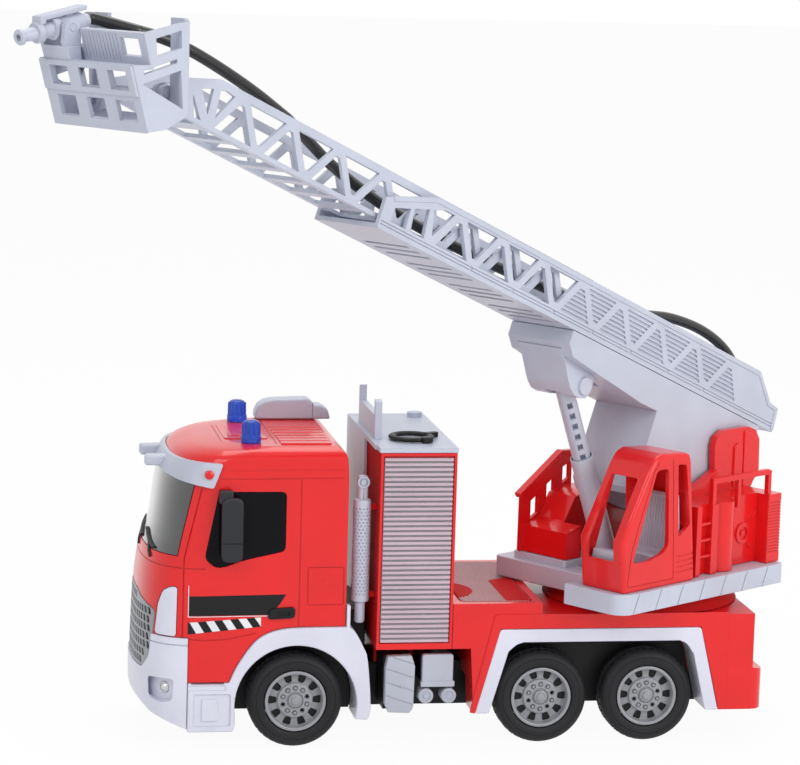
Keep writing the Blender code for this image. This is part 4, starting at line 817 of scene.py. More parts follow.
@dataclass
class Wheels:
    """Six wheels with lugged tyres and ten-hole rims."""

    radius: float = 24.0
    width: float = 16.5
    face: float = 50.5
    rim: float = 15.5
    lugs: int = 40
    holes: int = 10
    hole_ring: float = 11.3
    bolt_ring: float = 6.4
    places: tuple[tuple[str, float], ...] = (("front", -103.0), ("middle", 23.5), ("rear", 79.0))

    def tyre(self) -> Mesh:
        """Return a tyre about Z with its outer face at zero."""
        outer = self.radius
        bore = self.rim + 0.3
        half = self.width / 2
        face = [(bore, -1.4), (bore + 0.6, -0.5), (bore + 2.2, 0.0), (bore + 3.9, -0.05), (bore + 4.2, -0.45),
                (bore + 4.6, -0.45), (bore + 4.9, -0.15), (outer - 2.0, -0.7), (outer - 0.7, -1.9),
                (outer, -4.0)]
        groove = [(outer, -half + 0.9), (outer - 1.0, -half + 0.7), (outer - 1.0, -half)]
        outline = face + groove
        outline += [(r, -self.width - z) for r, z in reversed(outline[:-1])]
        mesh = turned(outline, 120, closed=True)
        notch = block((-0.6, -0.5, -0.45 * self.width), (1.6, 0.5, -3.4))
        notch.transform(Matrix.Rotation(math.radians(14), 4, "X"))
        ring = REPEATS.around(notch, self.lugs, outer, TYRE)
        back = ring.copy()
        back.transform(Matrix.Translation((0, 0, -self.width)) @ Matrix.Rotation(math.pi, 4, "X")
                       @ Matrix.Rotation(math.pi / self.lugs, 4, "Z"))
        return cut(mesh, ring, back)

    def slots(self, shrink: float, low: float, high: float) -> Mesh:
        """Return the ring of the rim's holes as solids between two heights."""
        edge = grown([(-2.1, -1.5), (2.1, -2.2), (2.1, 2.2), (-2.1, 1.5)], -shrink)
        return REPEATS.around(prism("XY", rounded(edge, 1.1), low, high), self.holes, self.hole_ring, BLACK)

    def hub(self) -> Mesh:
        """Return a rim about Z with its outer face at zero."""
        edge = self.rim
        profile = [(0.0, 0.0), (1.0, -0.05), (2.0, -0.4), (2.2, -1.2), (2.9, -1.2), (3.3, -1.5), (3.4, -2.9),
                   (4.1, -2.9), (4.3, -2.3), (8.3, -2.5), (8.8, -2.8), (9.0, -4.2), (13.0, -4.8),
                   (13.7, -4.0), (13.9, -0.9), (14.3, -0.5), (edge - 0.5, -0.4), (edge, -0.7), (edge, -15.4),
                   (2.4, -15.4), (2.4, -5.8), (0.0, -5.8)]
        mesh = turned(profile, 120)
        mesh = cut(mesh, self.slots(0.0, -9.0, 1.0))
        ring = cut(rod((0, 0, -1.0), (0, 0, 2.0), 1.3, 16), rod((0, 0, -2.0), (0, 0, 3.0), 0.8, 16))
        pits = shifted(REPEATS.around(ring, self.holes, self.bolt_ring, RIM), z=-2.1)
        pits.transform(Matrix.Rotation(math.pi / self.holes, 4, "Z"))
        mesh = cut(mesh, pits)
        bolt = turned([(0.0, 0.75), (0.45, 0.75), (0.75, 0.5), (0.79, -1.4), (0.0, -1.4)], 12)
        bolts = shifted(REPEATS.around(bolt, self.holes, self.bolt_ring, RIM), z=-2.3)
        bolts.transform(Matrix.Rotation(math.pi / self.holes, 4, "Z"))
        return joined(mesh, bolts)

    def build(self) -> None:
        """Place tyres and rims on the three axles."""
        tyre = self.tyre()
        hub = self.hub()
        depth = self.slots(0.04, -8.9, -5.3)
        for axle, x in self.places:
            frame["nodes"]["axle_" + axle].data.materials.clear()
            frame["nodes"]["axle_" + axle].data.materials.append(STEEL.material())
            for side_name, side in SIDES:
                seat = Matrix.Translation((x, side * self.face, self.radius))
                seat = seat @ Matrix.Rotation(-side * math.pi / 2, 4, "X")
                for kind, source, finish in (("tyre", tyre, TYRE), ("rim", hub, RIM)):
                    mesh = source.copy()
                    mesh.transform(seat)
                    stand_in(kind + "_" + axle + "_" + side_name, mesh, finish, axle + "_axle", smooth=40.0)
                holes = depth.copy()
                holes.transform(seat)
                piece("rim_holes_" + axle + "_" + side_name, holes, BLACK, axle + "_axle")


def strip(points: Sequence[Point], width: float) -> list[Point]:
    """Return the outline of a narrow band along a line of points.

    Args:
        points: Points along its middle.
        width: Width in millimetres.

    Returns:
        The outline's corners.
    """
    line = [Vector(point) for point in points]
    left: list[Point] = []
    right: list[Point] = []
    for index, here in enumerate(line):
        way = (line[min(index + 1, len(line) - 1)] - line[max(index - 1, 0)]).normalized()
        normal = Vector((-way.y, way.x)) * (width / 2)
        left.append(tuple(here + normal))
        right.append(tuple(here - normal))
    return left + right[::-1]


def grown(points: Sequence[Point], distance: float) -> list[Point]:
    """Return an outline with every edge moved outwards by a distance.

    Args:
        points: Corners in order.
        distance: Distance to move outwards.

    Returns:
        The outline's corners.
    """
    count = len(points)
    area = sum(points[i][0] * points[(i + 1) % count][1] - points[(i + 1) % count][0] * points[i][1]
               for i in range(count))
    turn = 1.0 if area > 0 else -1.0
    result = []
    for index in range(count):
        here = Vector(points[index])
        back = (here - Vector(points[index - 1])).normalized()
        ahead = (Vector(points[(index + 1) % count]) - here).normalized()
        first = Vector((back.y, -back.x)) * turn
        second = Vector((ahead.y, -ahead.x)) * turn
        result.append(tuple(here + (first + second) * (distance / (1.0 + first.dot(second)))))
    return result


def eased(rows: Sequence[Sequence[float]], place: float) -> list[float]:
    """Return values between table rows, without overshoot.

    Args:
        rows: Rows that start with their place, in rising order.
        place: Place to read.

    Returns:
        The other columns at that place.
    """
    last = len(rows) - 2
    index = max(0, min(last, sum(place >= row[0] for row in rows) - 1))
    width = rows[index + 1][0] - rows[index][0]
    t = (place - rows[index][0]) / width
    result = []
    for column in range(1, len(rows[0])):
        slopes = [(rows[i + 1][column] - rows[i][column]) / (rows[i + 1][0] - rows[i][0])
                  for i in range(len(rows) - 1)]

        def tangent(i: int) -> float:
            before = slopes[max(0, i - 1)]
            after = slopes[min(last, i)]
            return 0.0 if before * after <= 0 else 2 * before * after / (before + after)

        low = rows[index][column]
        high = rows[index + 1][column]
        result.append(low * (1 + 2 * t) * (1 - t) ** 2 + high * t * t * (3 - 2 * t)
                      + width * t * (1 - t) * ((1 - t) * tangent(index) - t * tangent(index + 1)))
    return result


@dataclass
class Cab:
    """Truck cab with its glazing, lamps, prints and trim."""

    front: float = -182.0
    rear: float = -78.5
    half: float = 50.0
    roof: float = 153.3
    nose_depth: float = 32.0
    nose_power: float = 0.77
    nose_steps: int = 60
    far: float = 102.0
    inset: float = 1.5
    grille_half: float = 38.3
    nose_reach: Point = (-212.0, -150.0)
    levels: tuple[tuple[float, float, float, float], ...] = (
        (8.0, 1.0, 0.0, 0.0), (30.0, 0.0, 0.0, 0.0), (75.0, 1.2, 0.0, 0.0), (97.0, 4.0, 0.0, 0.0),
        (105.0, 7.2, 0.0, 0.0), (134.0, 11.6, 0.0, 0.0), (147.5, 18.5, 0.8, 0.5), (151.2, 26.0, 3.5, 2.0),
        (153.3, 40.0, 8.0, 6.0))

    def form(self, grow: float) -> Mesh:
        """Return the cab's outer form moved outwards by a distance."""
        heights = [8, 19, 30, 45, 60, 75, 82, 90, 97, 101, 105, 112, 119, 126, 131, 134, 137, 140, 142.5,
                   144.5, 146, 147.5, 148.7, 149.6, 150.4, 151.0, 151.5, 152.0, 152.4, 152.75, 153.05, 153.3]
        rings = []
        for height in heights:
            setback, side_inset, rear_inset = eased(self.levels, height)
            level = height - grow if height == heights[0] else height + grow * (height == heights[-1])
            nose = self.front + setback - grow
            half = self.half - side_inset + grow
            rear = self.rear - rear_inset + grow
            ring = [(rear, -half, level)]
            for step in range(self.nose_steps + 1):
                angle = math.pi * (step / self.nose_steps - 0.5)
                ahead = max(0.0, math.cos(angle)) ** self.nose_power
                across = math.copysign(abs(math.sin(angle)) ** self.nose_power, math.sin(angle))
                ring.append((nose + self.nose_depth * (1.0 - ahead), half * across, level))
            ring.append((rear, half, level))
            rings.append(ring)
        return loft(rings)

    def skin(self, outline: Sequence[Point], plane: str, low: float, high: float, depth: float) -> Mesh:
        """Return a cutter that goes a depth into the form inside an outline."""
        return cut(prism(plane, outline, low, high), self.form(-depth))

    def windscreen_edge(self) -> list[Point]:
        """Return the windscreen in side view."""
        return [(-202.0, 98.5), (-163.5, 98.5), (-155.6, 134.8), (-163.0, 137.4), (-171.0, 139.4),
                (-202.0, 139.8)]

    def window_edge(self) -> list[Point]:
        """Return the door window in side view."""
        corners = [(-143.4, 131.4), (-110.0, 131.3), (-110.0, 101.6), (-131.0, 97.0), (-141.0, 93.5),
                   (-145.0, 93.5), (-150.0, 97.7)]
        return rounded(corners, 2.4)

    def lamp_edge(self) -> list[Point]:
        """Return a headlight in side view."""
        corners = [(-173.7, 57.9), (-163.9, 57.9), (-163.5, 83.0), (-166.8, 82.7), (-170.2, 80.2),
                   (-172.3, 73.0)]
        return rounded(corners, 1.6)

    def grille_edge(self) -> list[Point]:
        """Return the grille in front view."""
        half = self.grille_half
        corners = [(-half, 69.5), (-half + 1.4, 45.5), (-half + 8, 38.5), (half - 8, 38.5),
                   (half - 1.4, 45.5), (half, 69.5), (13.6, 75.5), (-13.6, 75.5)]
        return rounded(corners, 3.0)

    def wheel_room(self) -> list[Point]:
        """Return the room for the fender in side view."""
        return [*grown(Fenders().outer_edge(), GAP), (-73.0, 0.0), (-158.0, 0.0)]

    def shell(self) -> Mesh:
        """Return the red shell with its seams and recesses."""
        mesh = cut(self.form(0.0), block((-212, -self.far, 0), (0, self.far, 32.2)),
                   block((-212, -self.far, 0), (-157.7, self.far, 57.5)),
                   block((-158, -21.3, 0), (0, 21.3, 36.3)))
        pocket = self.inset + GAP
        mesh = cut(mesh, self.skin(grown(self.windscreen_edge(), GAP), "XZ", -self.far, self.far, pocket),
                   self.skin(grown(self.grille_edge(), GAP), "YZ", *self.nose_reach, pocket))
        for _, side in SIDES:
            room = flank(self.wheel_room(), side, 29.7, self.far)
            window = flank(grown(self.window_edge(), GAP), side, self.half - pocket, self.far)
            mesh = cut(mesh, room, window, self.skin(grown(self.lamp_edge(), GAP), "XZ",
                                                     *span(side, self.grille_half + GAP, self.far), pocket))
        return cut(mesh, *self.seams())

    def seams(self) -> list[Mesh]:
        """Return cutters for door seams, creases and the square hatch on both sides."""
        flat = [strip([(-143.0, 142.2), (-81.0, 142.6)], 0.55),
                strip([(-143.5, 138.0), (-81.0, 138.4)], 0.55), strip([(-102.4, 138.0), (-102.4, 61.5)], 0.5)]
        hatch = rounded(rectangle(-98.4, -79.8, 73.5, 93.2), 1.2)
        inner = grown(hatch, -0.5)
        bent = [strip([(-152.0, 133.0), (-160.3, 97.0), (-160.6, 57.0)], 0.55),
                strip([(-163.0, 57.2), (-150.0, 56.0), (-138.0, 56.6), (-124.0, 59.6)], 0.6)]
        cutters = []
        for _, side in SIDES:
            low, high = span(side, self.half - 0.5, self.far)
            cutters += [prism("XZ", outline, low, high) for outline in flat]
            cutters.append(cut(prism("XZ", hatch, low, high), prism("XZ", inner, low - 1, high + 1)))
            cutters += [self.skin(outline, "XZ", *span(side, 20.0, self.far), 0.5) for outline in bent]
        cutters.append(self.skin(strip([(-60.0, 92.6), (60.0, 92.6)], 0.55), "YZ", *self.nose_reach, 0.5))
        for x in (-140.6, -113.6):
            cutters.append(prism("XZ", strip([(x, self.roof + 2), (x, self.roof - 0.5)], 0.6), -36, 36))
        return cutters

    def roof_pads(self) -> Mesh:
        """Return the raised panel and the ribs on the roof as one set."""
        rib = softened(block((-111.5, -3.1, self.roof - 0.6), (-86.0, 3.1, self.roof + 0.7)), 0.4)
        ribs = shifted(REPEATS.along(rib, 7, (0, 8.0, 0), RED), y=-34.5)
        plate = softened(prism("XY", rounded(rectangle(-138.5, -116.0, -22.0, 22.0), 3.0), self.roof - 0.6,
                               self.roof + 0.5), 0.3)
        middle = softened(prism("XY", rounded(rectangle(-134.5, -119.0, -16.0, 16.0), 3.0), self.roof - 0.6,
                                self.roof + 0.9), 0.3)
        return gathered([ribs, joined(plate, middle)])

    def band_pieces(self) -> None:
        """Place the black band, its white edge, the warning stripes and the handle on both doors."""
        band = [(-157.6, 68.6), (-116.6, 68.9), (-112.0, 74.5), (-109.0, 79.3), (-157.6, 78.6)]
        edge = [(-158.1, 84.0), (-158.1, 67.9), (-117.2, 68.2), (-117.2, 68.6), (-157.7, 68.3),
                (-157.7, 84.0)]
        low = ((-158.0, 59.3), (-121.4, 62.9))
        high = ((-158.0, 65.2), (-121.4, 67.7))
        whole = [low[0], low[1], high[1], high[0]]
        for name, side in SIDES:
            self.print_piece("door_band_" + name, [band], BLACK, side, 0.16)
            self.print_piece("door_edge_" + name, [edge], PRINT_WHITE, side, 0.14)
            self.print_piece("warning_ground_" + name, [whole], PRINT_WHITE, side, 0.14)
            bars = []
            for number in range(5):
                left = number / 4.5
                right = left + 0.5 / 4.5
                lean = 0.09
                top = [(max(0.0, left - lean), 1.0), (max(0.0, right - lean), 1.0)]
                foot = [(min(1.0, right), 0.0), (min(1.0, left), 0.0)]
                bars.append([self.between(low, high, *corner) for corner in top + foot])
            self.print_piece("warning_bars_" + name, bars, BLACK, side, 0.24)
            handle = flank(rounded([(-118.5, 66.6), (-104.3, 67.2), (-104.3, 73.0), (-117.0, 72.2)], 2.2),
                           side, self.half - 0.3, self.half + 1.6, 0.7)
            grip = flank(rounded(rectangle(-114.0, -107.0, 68.4, 71.0), 1.0), side, self.half + 0.6,
                         self.half + 3.0)
            piece("door_handle_" + name, cut(handle, grip), BLACK)

    def between(self, low: Sequence[Point], high: Sequence[Point], along: float, up: float) -> Point:
        """Return a point inside a band given by two edges."""
        foot = Vector(low[0]).lerp(Vector(low[1]), along)
        head = Vector(high[0]).lerp(Vector(high[1]), along)
        return tuple(foot.lerp(head, up))

    def print_piece(self, name: str, outlines: Sequence[Sequence[Point]], finish: Finish, side: int,
                    height: float) -> None:
        """Place a thin print that follows the cab's side.

        Args:
            name: Name of the piece.
            outlines: Outlines in side view.
            finish: Finish of the print.
            side: Side of the truck, minus for left.
            height: Height over the side.
        """
        ground = gathered([flank(outline, side, 38.0, self.far) for outline in outlines])
        piece(name, cut(common(self.form(height), ground), self.form(-0.2)), finish)

    def grille_layer(self, top: float, low: float, shrink: float) -> Mesh:
        """Return a layer of the grille between two distances from the form."""
        ground = prism("YZ", grown(self.grille_edge(), -shrink), *self.nose_reach)
        return cut(common(self.form(top), ground), self.form(low))

    def lattice(self) -> Mesh:
        """Return the grille's frame and slanting bars with eight rows of slots between."""
        mesh = self.grille_layer(GAP, -0.25, 0.0)
        slot = prism("YZ", rounded([(-1.8, -1.7), (0.9, -1.7), (1.8, 1.7), (-0.9, 1.7)], 0.5),
                     *self.nose_reach)
        pitch = 3.8
        for row, reach in enumerate((7, 8, 9, 9, 9, 9, 9, 4)):
            line = REPEATS.along(slot, 2 * reach + 1, (0, pitch, 0), BLACK)
            mesh = cut(mesh, shifted(line, y=-pitch * reach + 0.9 * (row % 2), z=41.6 + row * 4.4))
        return mesh

    def bumper(self) -> Mesh:
        """Return the white bumper with a ledge and fog lamp recesses."""
        side = [(-212, 57.2), (-158, 57.2), (-158, 10.5), (-175, 17), (-182, 22.5), (-212, 23.5)]
        mesh = cut(common(self.form(0.9), prism("XZ", side, -self.far, self.far)), self.form(-4.5),
                   prism("YZ", grown(self.grille_edge(), GAP), *self.nose_reach))
        ledge = self.skin(strip([(-212.0, 53.6), (-158.0, 53.6)], 0.7), "XZ", -self.far, self.far, -0.35)
        recess = rounded([(-176.5, 35.5), (-164.8, 36.2), (-165.2, 25.0), (-171.0, 23.2), (-176.0, 25.0)],
                         2.0)
        mesh = cut(mesh, ledge)
        for _, way in SIDES:
            mesh = cut(mesh, self.skin(recess, "XZ", *span(way, 30.0, self.far), 2.4))
        return mesh

    def fog_lamps(self) -> None:
        """Place a silver lamp in each bumper recess."""
        for name, way in SIDES:
            lamp = turned([(0.0, 1.6), (1.4, 1.3), (2.3, 0.5), (2.7, 0.7), (3.1, 0.3), (3.2, -1.6),
                           (0.0, -1.6)], 40)
            aim = Vector((-0.72, way * 0.69, 0.0)).to_track_quat("Z", "Y").to_matrix().to_4x4()
            lamp.transform(Matrix.Translation((-168.6, way * 40.8, 30.2)) @ aim)
            piece("fog_lamp_" + name, lamp, STEEL)

    def visor(self) -> Mesh:
        """Return the grey sun visor with two lamp pods."""
        outline = rounded([(-202.0, 138.9), (-171.0, 138.4), (-163.0, 136.4), (-146.6, 133.6),
                           (-141.9, 145.8), (-150.0, 145.9), (-165.0, 145.8), (-202.0, 145.7)], 1.2)
        mesh = cut(common(self.form(2.2), prism("XZ", outline, -self.far, self.far)), self.form(GAP))
        for _, way in SIDES:
            pod = softened(block((-178.0, way * 15.0 - 3.4, 139.0), (-166.0, way * 15.0 + 3.4, 144.6)), 1.6,
                           4)
            pod.transform(Matrix.Translation((-172, way * 15.0, 141.8)) @ Matrix.Rotation(way * 0.1, 4, "Z")
                          @ Matrix.Translation((172, -way * 15.0, -141.8)))
            mesh = joined(mesh, cut(pod, self.form(1.0)))
        return mesh

    def wipers(self) -> Mesh:
        """Return two black wipers lying on the foot of the windscreen."""
        arms = []
        for start, end in ((-30.0, -4.0), (2.0, 28.0)):
            blade = prism("YZ", strip([(start, 99.6), (end - 3.0, 104.4), (end, 104.6)], 1.1), -212, -140)
            arm = prism("YZ", strip([(start + 1.0, 95.0), (start + 9.0, 101.2)], 1.3), -212, -140)
            arms += [cut(common(self.form(0.9), part), self.form(-0.25)) for part in (blade, arm)]
        return gathered(arms)

    def build(self) -> None:
        """Place every piece of the cab."""
        stand_in("cab_shell", self.shell(), RED, smooth=28.0)
        piece("roof_ribs", self.roof_pads(), RED)
        screen = common(self.form(-GAP), prism("XZ", self.windscreen_edge(), -self.far, self.far))
        stand_in("windscreen", cut(screen, self.form(-self.inset)), SCREEN)
        piece("wiper_pair", self.wipers(), BLACK)
        for name, side in SIDES:
            pane = flank(self.window_edge(), side, self.half - self.inset, self.half - GAP)
            stand_in("side_window_" + name, pane, GLAZING)
            lamp = common(self.form(0.5), flank(self.lamp_edge(), side, self.grille_half + 0.6, self.far))
            stand_in("headlight_" + name, cut(lamp, self.form(-self.inset)), WHITE)
        stand_in("front_grille", self.lattice(), RIM)
        piece("grille_back", self.grille_layer(-0.7, -self.inset, 0.2), BLACK)
        stand_in("front_bumper", self.bumper(), WHITE)
        stand_in("sun_visor", self.visor(), GREY)
        self.fog_lamps()
        self.band_pieces()


@dataclass
class Fenders:
    """White fenders with steps in front and white frames behind."""

    inner: float = 30.0
    outer: float = 51.5
    body_half: float = 51.2

    def outer_edge(self) -> list[Point]:
        """Return the front fender's upper edge in side view, closed low."""
        rise = smooth_route([(-137.0, 34.2, 0), (-133.0, 43.0, 0), (-125.0, 54.5, 0), (-117.7, 59.5, 0),
                             (-109.0, 61.8, 0), (-98.0, 62.3, 0)], 3)
        fall = smooth_route([(-79.0, 62.4, 0), (-76.2, 62.0, 0), (-73.0, 59.0, 0), (-69.0, 51.5, 0),
                             (-66.7, 44.7, 0), (-64.6, 20.5, 0), (-66.2, 14.0, 0)], 3)
        return [(-157.7, 9.0), (-157.7, 34.2), *[(p.x, p.y) for p in rise], *[(p.x, p.y) for p in fall]]

    def front(self, side: int) -> Mesh:
        """Return one front fender with its step."""
        arch = arc((-103.0, 22.0), 31.0, -14.0, 187.0, 40)
        outline = [*self.outer_edge(), *arch, (-133.5, 13.0), (-134.5, 9.0)]
        mesh = flank(outline, side, self.inner, self.outer, 0.9)
        deep = span(side, self.outer - 0.9, self.outer + 5)
        shallow = span(side, self.outer - 0.5, self.outer + 5)
        tread = span(side, self.outer - 6.0, self.outer + 5)
        mesh = cut(mesh, prism("XZ", rounded(rectangle(-154.8, -136.0, 12.0, 28.6), 1.4), *deep))
        pad = flank(rounded(rectangle(-150.6, -142.4, 14.6, 26.0), 0.8), side, self.outer - 1.5,
                    self.outer - 0.25, 0.3)
        post = flank(rectangle(-78.1, -76.3, 60.0, 73.4), side, 46.5, self.outer - 0.2, 0.3)
        mesh = joined(mesh, pad, post)
        return cut(mesh, prism("XZ", rounded(rectangle(-157.9, -138.5, 30.6, 33.1), 0.6), *shallow),
                   prism("XZ", rectangle(-156.0, -139.5, 33.6, 40.0), *tread))

    def rear(self, side: int) -> Mesh:
        """Return the white frame round the rear wheels of one side."""
        outer = rounded([(-11.0, 16.5), (1.0, 60.2), (106.0, 60.2), (116.5, 16.5)], 1.5)
        inner = [(109.8, 16.0), *smoothed([(102.5, 46.2), (98.8, 51.4), (95.0, 53.4)]),
                 *smoothed([(13.0, 53.4), (9.4, 52.0), (5.5, 48.7)]), (-3.9, 16.0)]
        low, high = span(side, self.inner, self.body_half + 0.6)
        return softened(cut(prism("XZ", outer, low, high), prism("XZ", inner, low - 5, high + 5)), 0.6)

    def well(self, side: int) -> Mesh:
        """Return the dark walls behind the wheels of one side, with room for the axles."""
        low, high = span(side, self.inner + 0.4, self.inner + 1.2)
        front = arc((-103.0, 22.0), 30.6, -12.0, 192.0, 40)
        rear = [(109.0, 17.0), *smoothed([(102.1, 46.0), (98.4, 51.1), (94.8, 53.0)]),
                *smoothed([(13.2, 53.0), (9.7, 51.7), (6.0, 48.5)]), (-3.2, 17.0)]
        mesh = gathered([prism("XZ", front, low, high), prism("XZ", rear, low, high)])
        rooms = [rod((x, low - 2.0, 24.0), (x, high + 2.0, 24.0), 5.0) for _, x in Wheels().places]
        return cut(mesh, *rooms)

    def panel(self, side: int) -> Mesh:
        """Return the raised red panel round the rear fender of one side."""
        outer = rounded([(-14.0, 16.8), (-2.0, 68.0), (120.5, 68.0), (120.5, 16.8)], 1.5)
        room = [(-11.4, 10.0), (-10.8, 17.0), (1.0, 60.5), (106.0, 60.5), (116.8, 17.0), (117.2, 10.0)]
        mesh = flank(outer, side, self.body_half + 0.02, self.body_half + 0.55)
        return softened(cut(mesh, flank(room, side, 40.0, 60.0)), 0.25)

    def build(self) -> None:
        """Place the four fenders and the panels behind them."""
        for name, side in SIDES:
            stand_in("front_fender_" + name, self.front(side), WHITE)
            piece("rear_panel_" + name, self.panel(side), RED)
            piece("wheel_well_" + name, self.well(side), BLACK)
            stand_in("rear_fender_" + name, self.rear(side), WHITE)


def smoothed(points: Sequence[Point]) -> list[Point]:
    """Return a smooth line through a few points in a plane."""
    return [(point.x, point.y) for point in smooth_route([(a, b, 0.0) for a, b in points], 5)]


@dataclass
class Studio:
    """Camera, floor and lamps."""

    lens: float = 139.5
    azimuth: float = -9.87
    elevation: float = 9.0
    roll: float = 1.65
    eye: Place = (-315.8, -1553.1, 414.5)
    ambient: float = 0.52
    floor_level: float = -0.0142
    floor_reach: float = 9.0
    floor_share: float = 0.95
    aim: Place = (-0.03, -0.03, 0.12)
    lamps: tuple[tuple[str, Place, float, float], ...] = (
        ("key", (-0.9, -1.4, 1.3), 8.5, 0.9), ("fill", (1.0, -1.3, 0.8), 12.5, 1.0),
        ("top", (0.1, 0.5, 1.6), 9.0, 1.0))

    def camera(self) -> None:
        """Set the camera at the photograph's angle."""
        turn = math.radians(self.azimuth)
        rise = math.radians(self.elevation)
        roll = math.radians(self.roll)
        right = Vector((math.cos(turn), math.sin(turn), 0.0))
        ahead = Vector((-math.sin(turn) * math.cos(rise), math.cos(turn) * math.cos(rise), -math.sin(rise)))
        upward = right.cross(ahead)
        side = right * math.cos(roll) + upward * math.sin(roll)
        top = upward * math.cos(roll) - right * math.sin(roll)
        data = bpy.data.cameras.new("camera")
        data.sensor_width = 36.0
        data.lens = self.lens
        data.clip_start = 0.05
        data.clip_end = 20.0
        item = linked(data, "camera")
        columns = Matrix((side, top, -ahead)).transposed().to_4x4()
        item.matrix_world = Matrix.Translation(Vector(self.eye) * MM) @ columns
        bpy.context.scene.camera = item

    def floor(self) -> None:
        """Lay a pale floor that keeps a soft shadow."""
        mesh = bpy.data.meshes.new("floor")
        reach = self.floor_reach
        corners = [(x, y, self.floor_level) for x, y in rectangle(-reach, reach, -reach, reach)]
        mesh.from_pydata(corners, [], [(0, 1, 2, 3)])
        item = linked(mesh, "floor")
        material = bpy.data.materials.new("pale floor")
        material.use_nodes = True
        tree = material.node_tree
        matte = tree.nodes.new("ShaderNodeBsdfDiffuse")
        matte.inputs["Color"].default_value = (0.92, 0.92, 0.93, 1.0)
        glow = tree.nodes.new("ShaderNodeEmission")
        glow.inputs["Color"].default_value = (1.0, 1.0, 1.0, 1.0)
        blend = tree.nodes.new("ShaderNodeMixShader")
        self._seen(tree, blend.inputs["Fac"], self.floor_share)
        tree.links.new(matte.outputs["BSDF"], blend.inputs[1])
        tree.links.new(glow.outputs["Emission"], blend.inputs[2])
        tree.links.new(blend.outputs["Shader"], tree.nodes["Material Output"].inputs["Surface"])
        mesh.materials.append(material)

    def _seen(self, tree: Tree, target: Socket, share: float) -> None:
        """Feed a share to a socket for rays that show the background.

        Args:
            tree: Tree to add to.
            target: Socket that takes the share.
            share: Value for camera, glossy and transmission rays.
        """
        path = tree.nodes.new("ShaderNodeLightPath").outputs
        shown = calculated(tree, "MAXIMUM", path["Is Camera Ray"], path["Is Glossy Ray"])
        shown = calculated(tree, "MAXIMUM", shown, path["Is Transmission Ray"])
        tree.links.new(calculated(tree, "MULTIPLY", shown, share), target)

    def world(self) -> None:
        """Make the surroundings white to the eye and soft as a light."""
        world = bpy.data.worlds.new("studio")
        bpy.context.scene.world = world
        world.use_nodes = True
        tree = world.node_tree
        ambient = tree.nodes["Background"]
        ambient.inputs["Color"].default_value = (1.0, 1.0, 1.0, 1.0)
        ambient.inputs["Strength"].default_value = self.ambient
        seen = tree.nodes.new("ShaderNodeBackground")
        seen.inputs["Color"].default_value = (1.0, 1.0, 1.0, 1.0)
        seen.inputs["Strength"].default_value = 1.0
        blend = tree.nodes.new("ShaderNodeMixShader")
        self._seen(tree, blend.inputs["Fac"], 1.0)
        tree.links.new(ambient.outputs["Background"], blend.inputs[1])
        tree.links.new(seen.outputs["Background"], blend.inputs[2])
        tree.links.new(blend.outputs["Shader"], tree.nodes["World Output"].inputs["Surface"])

    def lamp(self, name: str, place: Sequence[float], power: float, size: float) -> None:
        """Hang one soft lamp that faces the toy.

        Args:
            name: Name of the lamp.
            place: Place in metres.
            power: Power in watts.
            size: Side length in metres.
        """
        data = bpy.data.lights.new(name, "AREA")
        data.energy = power
        data.size = size
        item = linked(data, name)
        aim = Vector(self.aim) - Vector(place)
        item.location = place
        item.rotation_euler = aim.to_track_quat("-Z", "Y").to_euler()

    def build(self) -> None:
        """Set up the whole studio."""
        self.camera()
        self.floor()
        self.world()
        for lamp in self.lamps:
            self.lamp(*lamp)
        bpy.context.scene.view_settings.view_transform = "Standard"


@dataclass
class Hose:
    """Black hose from the boom's root along the ladders to the cannon."""

    radius: float = 2.7
    run: tuple[Place, ...] = (
        (-15, 0, 31), (-12.5, 0, 42), (-4, 0, 51.5), (11, 0, 57), (31, 0, 58.8), (54, 0, 56.8), (73, 0, 52.2),
        (92, 0, 46), (115, 0, 42), (143, 0, 40), (190, 0, 37.5), (236, 0, 36.5), (281, 0, 38), (318, 0, 43),
        (338, 0, 48), (356, 0, 53))
    drop: tuple[Place, ...] = (
        (356, 0, 53), (378, 0.3, 56.5), (400, 1, 58.8), (421, 3, 60.2), (436, 6, 59.8), (446, 9.3, 58.6))

    def build(self) -> None:
        """Make the three curved stretches of hose between the bodies at their ends."""
        flip = Matrix.Diagonal((-1.0, 1.0, 1.0))
        run = smooth_route([flip @ Vector(point) for point in self.run])
        drop = smooth_route([flip @ Vector(point) for point in self.drop])
        boom = Seat.BOOM.matrix()
        to_basket = Seat.BASKET.matrix().inverted() @ boom
        start = to_basket @ drop[-1]
        way = (to_basket.to_3x3() @ (drop[-1] - drop[-2])).normalized()
        dip = math.radians(CANNON_DIP)
        back = Vector((math.cos(dip), 0.0, math.sin(dip)))
        end = Vector(CANNON_PIVOT) + back * (CANNON_TAIL + GAP)
        lead = smooth_route([start, start + way * 3.0, end + back * 3.0, end])
        self._stretch("hose_run_form", run, "hose_run", Seat.BOOM, "boom", "fly")
        self._stretch("hose_drop_form", drop, "hose_drop", Seat.BOOM, "fly", "basket_body")
        self._stretch("hose_lead_form", lead, "hose_lead", Seat.BASKET, "basket_body", "cannon")

    def _stretch(self, name: str, route: Sequence[Vector], node: str, seat: Seat, first: str, second: str) -> None:
        """Make one stretch of hose between two bodies.

        Args:
            name: Name of the piece.
            route: Points along its middle.
            node: Node that it stands for.
            seat: Frame that the route is drawn in.
            first: Body at its start.
            second: Body at its end.
        """
        mesh = tube(route, self.radius)
        to_row = Matrix.Scale(MM, 4) @ seat.matrix()
        mesh.transform(to_row)
        mesh = dressed(mesh, HOSE, 60.0)
        mesh.name = name
        item = linked(mesh, name)
        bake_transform(item)
        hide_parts(node)
        LOG.info("%s: bends from %s to %s", name, first, second)


